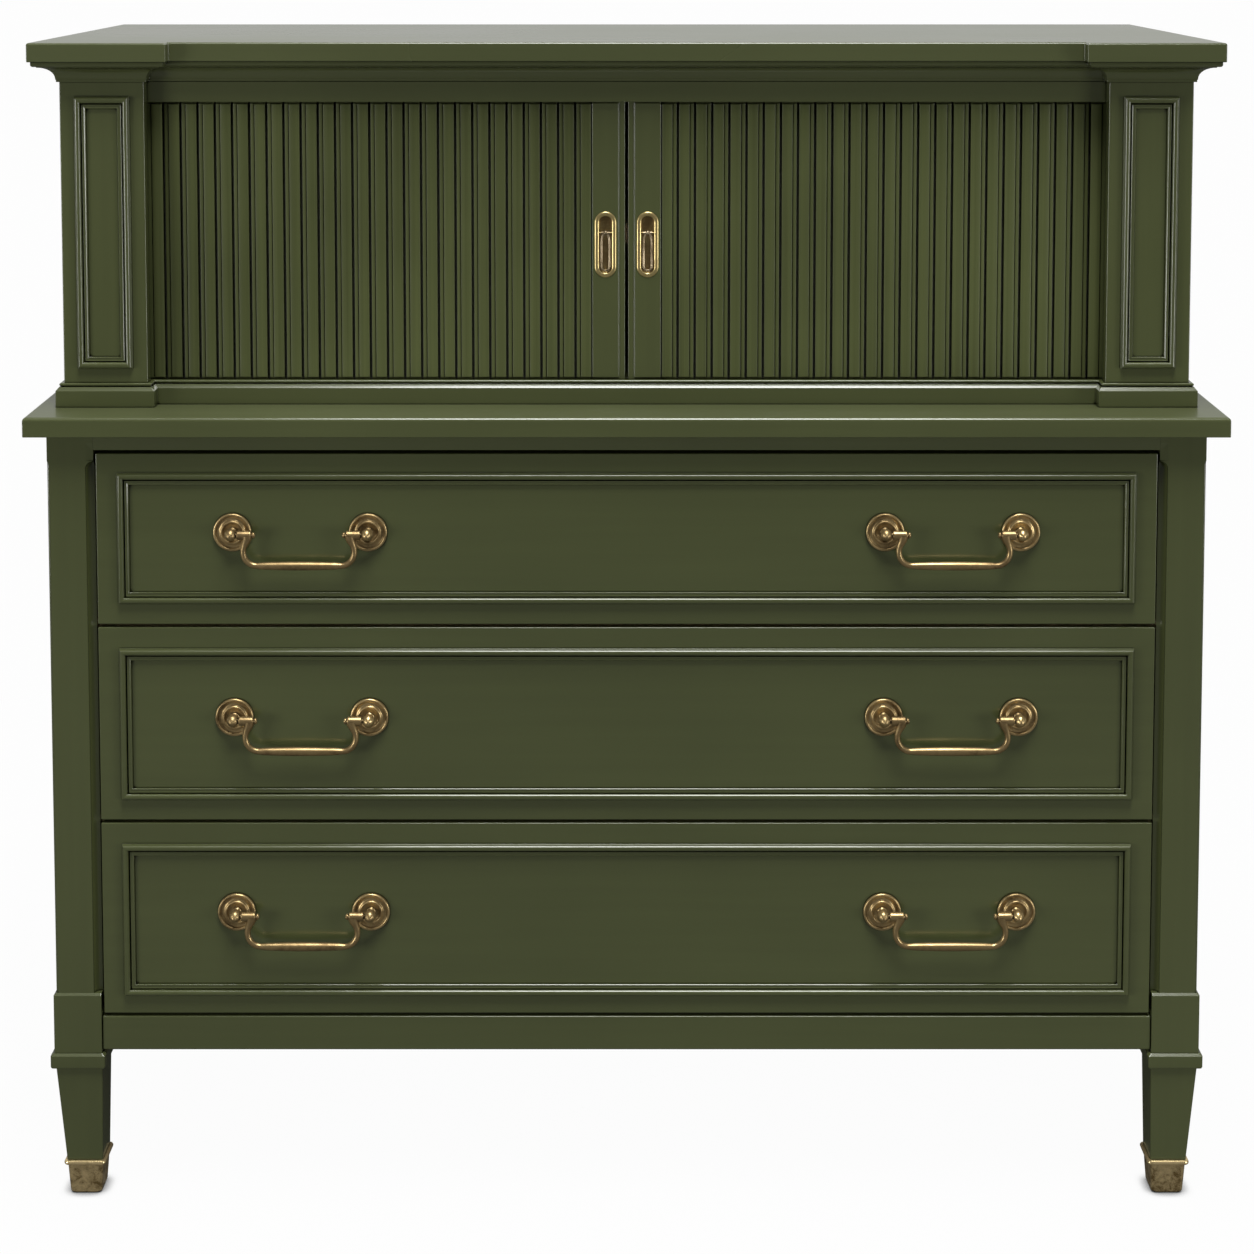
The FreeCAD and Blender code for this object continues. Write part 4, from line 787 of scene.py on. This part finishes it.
# The bottom and top boards of the cabinet, with the doors' grooves cut in them. The front edge
# of the top one is the frieze over the doors. Behind the cornice a rail holds the slab.
def eased_copy(name, body, node, finish, arris, steps=2):
    """A CAD node's mesh with its doubles merged and flats joined, its sharp edges rounded."""
    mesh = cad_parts[node].data.copy()
    mesh.materials.clear()
    work = bmesh.new()
    work.from_mesh(mesh)
    bmesh.ops.remove_doubles(work, verts=work.verts, dist=1e-6)
    bmesh.ops.dissolve_limit(work, angle_limit=np.radians(1), verts=work.verts, edges=work.edges)
    work.to_mesh(mesh)
    work.free()
    for attribute in ("custom_normal", "sharp_face"):
        if attribute in mesh.attributes:
            mesh.attributes.remove(mesh.attributes[attribute])
    return fitted(name, body, mesh, finish, [node], arris, steps)


eased_copy("cabinet_bottom_board", "carcass", "bottom_board", level_lacquer, 0.4)
eased_copy("cabinet_top_board", "carcass", "top_board", level_lacquer, 0.8)
dress("cornice_rail", level_lacquer)

# The plinth where the cabinet stands on the deck: a tall fascia, a bevel, a quirk and a small
# bead, cut on lengths of wood that are mitred round the pilasters and glued.
(_, upper_front, _), (_, body_back, _) = limits("upper_right_side")
deck_top = limits("deck")[1][2]
right_wall = [
    (pilaster_outer, body_back), (pilaster_outer, pilaster_front), (pilaster_inner, pilaster_front),
    (pilaster_inner, upper_front),
]
walls = right_wall + [(-x, y) for x, y in reversed(right_wall)]
plinth_profile = np.concatenate([
    [(0, 0), (7, 0), (7, 15.6), (4.4, 18.6), (4.2, 19.1), (0.8, 19.1), (0.8, 20.1), (1.9, 20.1)],
    arc((2.5, 21.3), 1.4, -100, 90, 8), [(0, 22.7)],
])
make_piece(
    "plinth_lengths", "carcass",
    [carried(plinth_profile, [(x, y, deck_top) for x, y in walls], (0, 0, 1), closed=False)],
    level_lacquer, ["plinth_moulding"], arris=0.3,
)

# The cornice under the slab: a small fillet, a deep cove and a rounded crown, cut on lengths of
# wood and mitred round the pilasters like the plinth.
cornice_bottom = limits("cornice_moulding")[0][2]
cove_turn, cove_out, cove_rise = np.linspace(0, np.pi / 2, 9), 14.4, 11.4
cornice_profile = np.concatenate([
    [(0, 0), (2.4, 0), (2.4, 2.2), (3.0, 2.2)],
    np.stack([3.0 + cove_out * (1 - np.cos(cove_turn)), 2.8 + cove_rise * np.sin(cove_turn)], 1),
    [(17.4, 15.0)], arc((19.8, 17.2), 2.2, -90, 0, 5), [(22, 19.6), (0, 19.6)],
])
make_piece(
    "cornice_lengths", "carcass",
    [carried(cornice_profile, [(x, y, cornice_bottom) for x, y in walls], (0, 0, 1), closed=False)],
    level_lacquer, ["cornice_moulding"], arris=0.3,
)

# The top slab, a board of one thickness with its front stepped back between the pilasters and
# its edges rounded less than the deck's. It is screwed down from inside through the cornice rail.
low, high = limits("top_slab")
slab_inner, slab_step = 428.5, low[1] + upper_front - pilaster_front
plan = np.array([
    (low[0], low[1]), (-slab_inner, low[1]), (-slab_inner, slab_step), (slab_inner, slab_step),
    (slab_inner, low[1]), (high[0], low[1]), (high[0], high[1]), (low[0], high[1]),
])
slab = np.stack([np.insert(plan, 2, level, axis=1) for level in (low[2], high[2])])
# Painted shade: the slab's olive is a little darker than the rest (tone 0.92), and its lacquer duller.
slab_lacquer = lacquer("lacquer_slab", (3, 90, 90), dullness=0.25, tone=0.92)
top = make_piece("slab", "carcass", [skin(slab)], slab_lacquer, ["top_slab"], arris=2.2, steps=5)
most_round_on_top(top, 0.4)


# The tambour doors: slats of lacquered wood glued to canvas, each with a wide face and a lower
# strip beside it. Their thinner ends run in grooves and turn the corner behind the pilasters.
slat_lacquer = lacquer("lacquer_slats", (260, 20, 1.2), streaks=3.6, dullness=0.42, gloss=0.22, tone=1.06)
canvas = bpy.data.materials.new("tambour_canvas")
canvas.use_nodes = True
canvas["slot"] = "canvas"
tree = canvas.node_tree
tree.nodes.clear()
spot = add_node(tree, "ShaderNodeTexCoord").outputs["Object"]
threads = {"Vector": spot, "Scale": 260.0, "Distortion": 0.6}
warp = add_node(tree, "ShaderNodeTexWave", threads, bands_direction="X")
weft = add_node(tree, "ShaderNodeTexWave", threads, bands_direction="Z")
cross = add_node(tree, "ShaderNodeMath", {
    0: warp.outputs["Fac"], 1: weft.outputs["Fac"],
}, operation="MULTIPLY")
thread = add_node(tree, "ShaderNodeValToRGB", {"Fac": cross.outputs[0]})
# Painted shade: the canvas is coloured near black, so that the gaps between the slats read as shade.
thread.color_ramp.elements[0].color = (0.014, 0.014, 0.009, 1)
thread.color_ramp.elements[1].color = (0.034, 0.034, 0.022, 1)
raised = add_node(tree, "ShaderNodeBump", {
    "Height": cross.outputs[0], "Strength": 0.5, "Distance": 0.0004,
})
cloth = add_node(tree, "ShaderNodeBsdfPrincipled", {
    "Base Color": thread.outputs["Color"], "Roughness": 0.9, "Normal": raised.outputs[0],
})
add_node(tree, "ShaderNodeOutputMaterial", {"Surface": cloth.outputs[0]})

slats_low, slats_high = limits("right_tambour_slats")
slat_pitch, stile_tail, tambour_front, slat_thick = 16.3, 32.7, slats_low[1], 8.0
slat_section = np.array([
    (0.85, slat_thick), (0.85, 0.9), (1.1, 0.3), (1.6, 0), (6.0, -0.1), (10.2, 0), (10.7, 0.3), (10.95, 0.9),
    (11.05, 2.3), (11.5, 2.3), (11.7, 1.8), (14.4, 1.8), (14.9, 2.1), (15.15, 2.8), (15.15, slat_thick),
])
slat_count = round((slats_high[0] - stile_tail) / slat_pitch)
door_bottom, door_top = limits("bottom_board")[1][2], limits("top_board")[0][2]
tongue, shoulder, face = 5.4, 0.7, -0.15
slat_levels = np.array([
    (slats_low[2], tongue), (door_bottom + 1.4, tongue), (door_bottom + 1.5, shoulder),
    (door_bottom + 2.3, face), (door_top - 3.0, face), (door_top - 2.2, shoulder),
    (door_top - 2.1, tongue), (slats_high[2], tongue),
])
slats = []
for offset in stile_tail + slat_pitch * np.arange(slat_count):
    x = offset + slat_section[:, 0] + 0 * slat_levels[:, :1]
    y = tambour_front + np.maximum(slat_section[:, 1], slat_levels[:, 1:])
    slats.append(skin(np.stack([x, y, slat_levels[:, :1] + 0 * x], -1)))
for side, sign in (("left", -1), ("right", 1)):
    made = make_piece(f"{side}_slats", "carcass", slats if sign > 0 else mirrored(slats), slat_lacquer,
                      [f"{side}_tambour_slats"])
    sheet = board(*limits(f"{side}_tambour_canvas"))
    backing = make_piece(f"{side}_canvas_backing", "carcass", [sheet], canvas, [f"{side}_tambour_canvas"])
    for soft in (made, backing):
        for modifier in list(soft.modifiers):
            soft.modifiers.remove(modifier)
        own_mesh(soft)


# Each door's lead stile is a solid upright of lacquered wood that runs in the grooves, with a
# low bead at the meeting edge and a pocket cut for the flush pull.
for side in ("left", "right"):
    eased_copy(f"{side}_door_stile", f"{side}_door", f"{side}_lead_stile", upright_lacquer, 0.7)


# The flush pulls: a pressed brass cup with a broad rounded rim, let into the stile, and a folding
# ring that lies in it on a pin. The rim is rubbed bright and carries a painted highlight, and the hollow is
# darkened as painted shade.
# Painted highlight on the rim's front and painted shade in the hollow behind it.
cup_brass = brass(
    "cup_brass", (0.26, 0.18, 0.075), (0.46, 0.36, 0.155), mottle=40.0,
    rim=("Y", tambour_front / 1000 + 0.0001, tambour_front / 1000 - 0.0004, -0.4),
)
ring_brass = brass("ring_brass", (0.12, 0.085, 0.04), (0.42, 0.34, 0.22), mottle=60.0)
cup_centre, cup_half_width, cup_half_height = np.array([20.1, tambour_front, 907.0]), 10.5, 31.6
ring_pivot, knuckle_half, pin_radius, pin_half = cup_centre + (0, 1.1, 11.1), 4.9, 0.9, 6.2
cup_profile = np.array([
    (6.4, 7.0), (5.2, 6.9), (4.5, 6.3), (4.3, 5.4), (4.25, 0.2), (4.1, -0.5), (3.5, -1.0), (2.4, -1.2),
    (1.2, -1.1), (0.4, -0.7), (0, -0.1), (0.2, 0), (3.3, 0), (3.3, 8.0), (6.4, 8.0),
])


def cup_shell():
    """The cup: at each (inset, depth) an oval of two half circles of one radius, held apart."""
    sides = 48
    turn = (np.arange(sides) + 0.5) * 2 * np.pi / sides
    radius = cup_half_width - cup_profile[:, :1]
    apart = np.where(np.sin(turn) > 0, 1, -1) * (cup_half_height - cup_half_width)
    x = cup_centre[0] + radius * np.cos(turn)
    z = cup_centre[2] + apart + radius * np.sin(turn)
    return skin(np.stack([x, cup_centre[1] + cup_profile[:, 1:] + 0 * x, z], -1))


def folding_ring():
    """A long loop of wire closed by its bend, under a knuckle with rounded ends."""
    half, wire, length = 3.75, 1.15, 37.4
    foot = half + wire - length
    side = np.array([(0.9, -0.6), (1.9, -1.5), (2.9, -3.0), (3.5, -5.0), (half, -7.5), (half, foot * 0.6)])
    turn = np.linspace(0, np.pi, 13)
    loop = np.concatenate([
        side, np.stack([half * np.cos(turn), foot - half * np.sin(turn)], 1), side[::-1] * (-1, 1),
    ])
    path = ring_pivot + np.stack([loop[:, 0], 0 * loop[:, 0], loop[:, 1]], 1)
    end_radius, end_flat, end_start = 1.2, 0.5, 2.2
    knuckle = np.concatenate([
        [(end_radius, end_flat), (end_radius, end_start)], arc((0, knuckle_half), 2.3, -60, 60, 9),
        [(end_radius, 2 * knuckle_half - end_start), (end_radius, 2 * knuckle_half - end_flat)],
    ])
    return [
        bar(path, np.full(len(path), wire), sides=12),
        turned(knuckle, ring_pivot - (knuckle_half, 0, 0), (1, 0, 0), sides=20),
    ]


pin_profile = [(pin_radius, 0), (pin_radius, 2 * pin_half)]
pin = turned(pin_profile, ring_pivot - (pin_half, 0, 0), (1, 0, 0), sides=14)
cup_parts, ring_parts = [cup_shell(), pin], folding_ring()
for side in ("left", "right"):
    hand = list if side == "right" else mirrored
    make_piece(f"{side}_pull_cup", f"{side}_door", hand(cup_parts), cup_brass, [f"{side}_flush_cup"])
    make_piece(f"{side}_folding_ring", f"{side}_ring", hand(ring_parts), ring_brass, [f"{side}_drop_ring"])
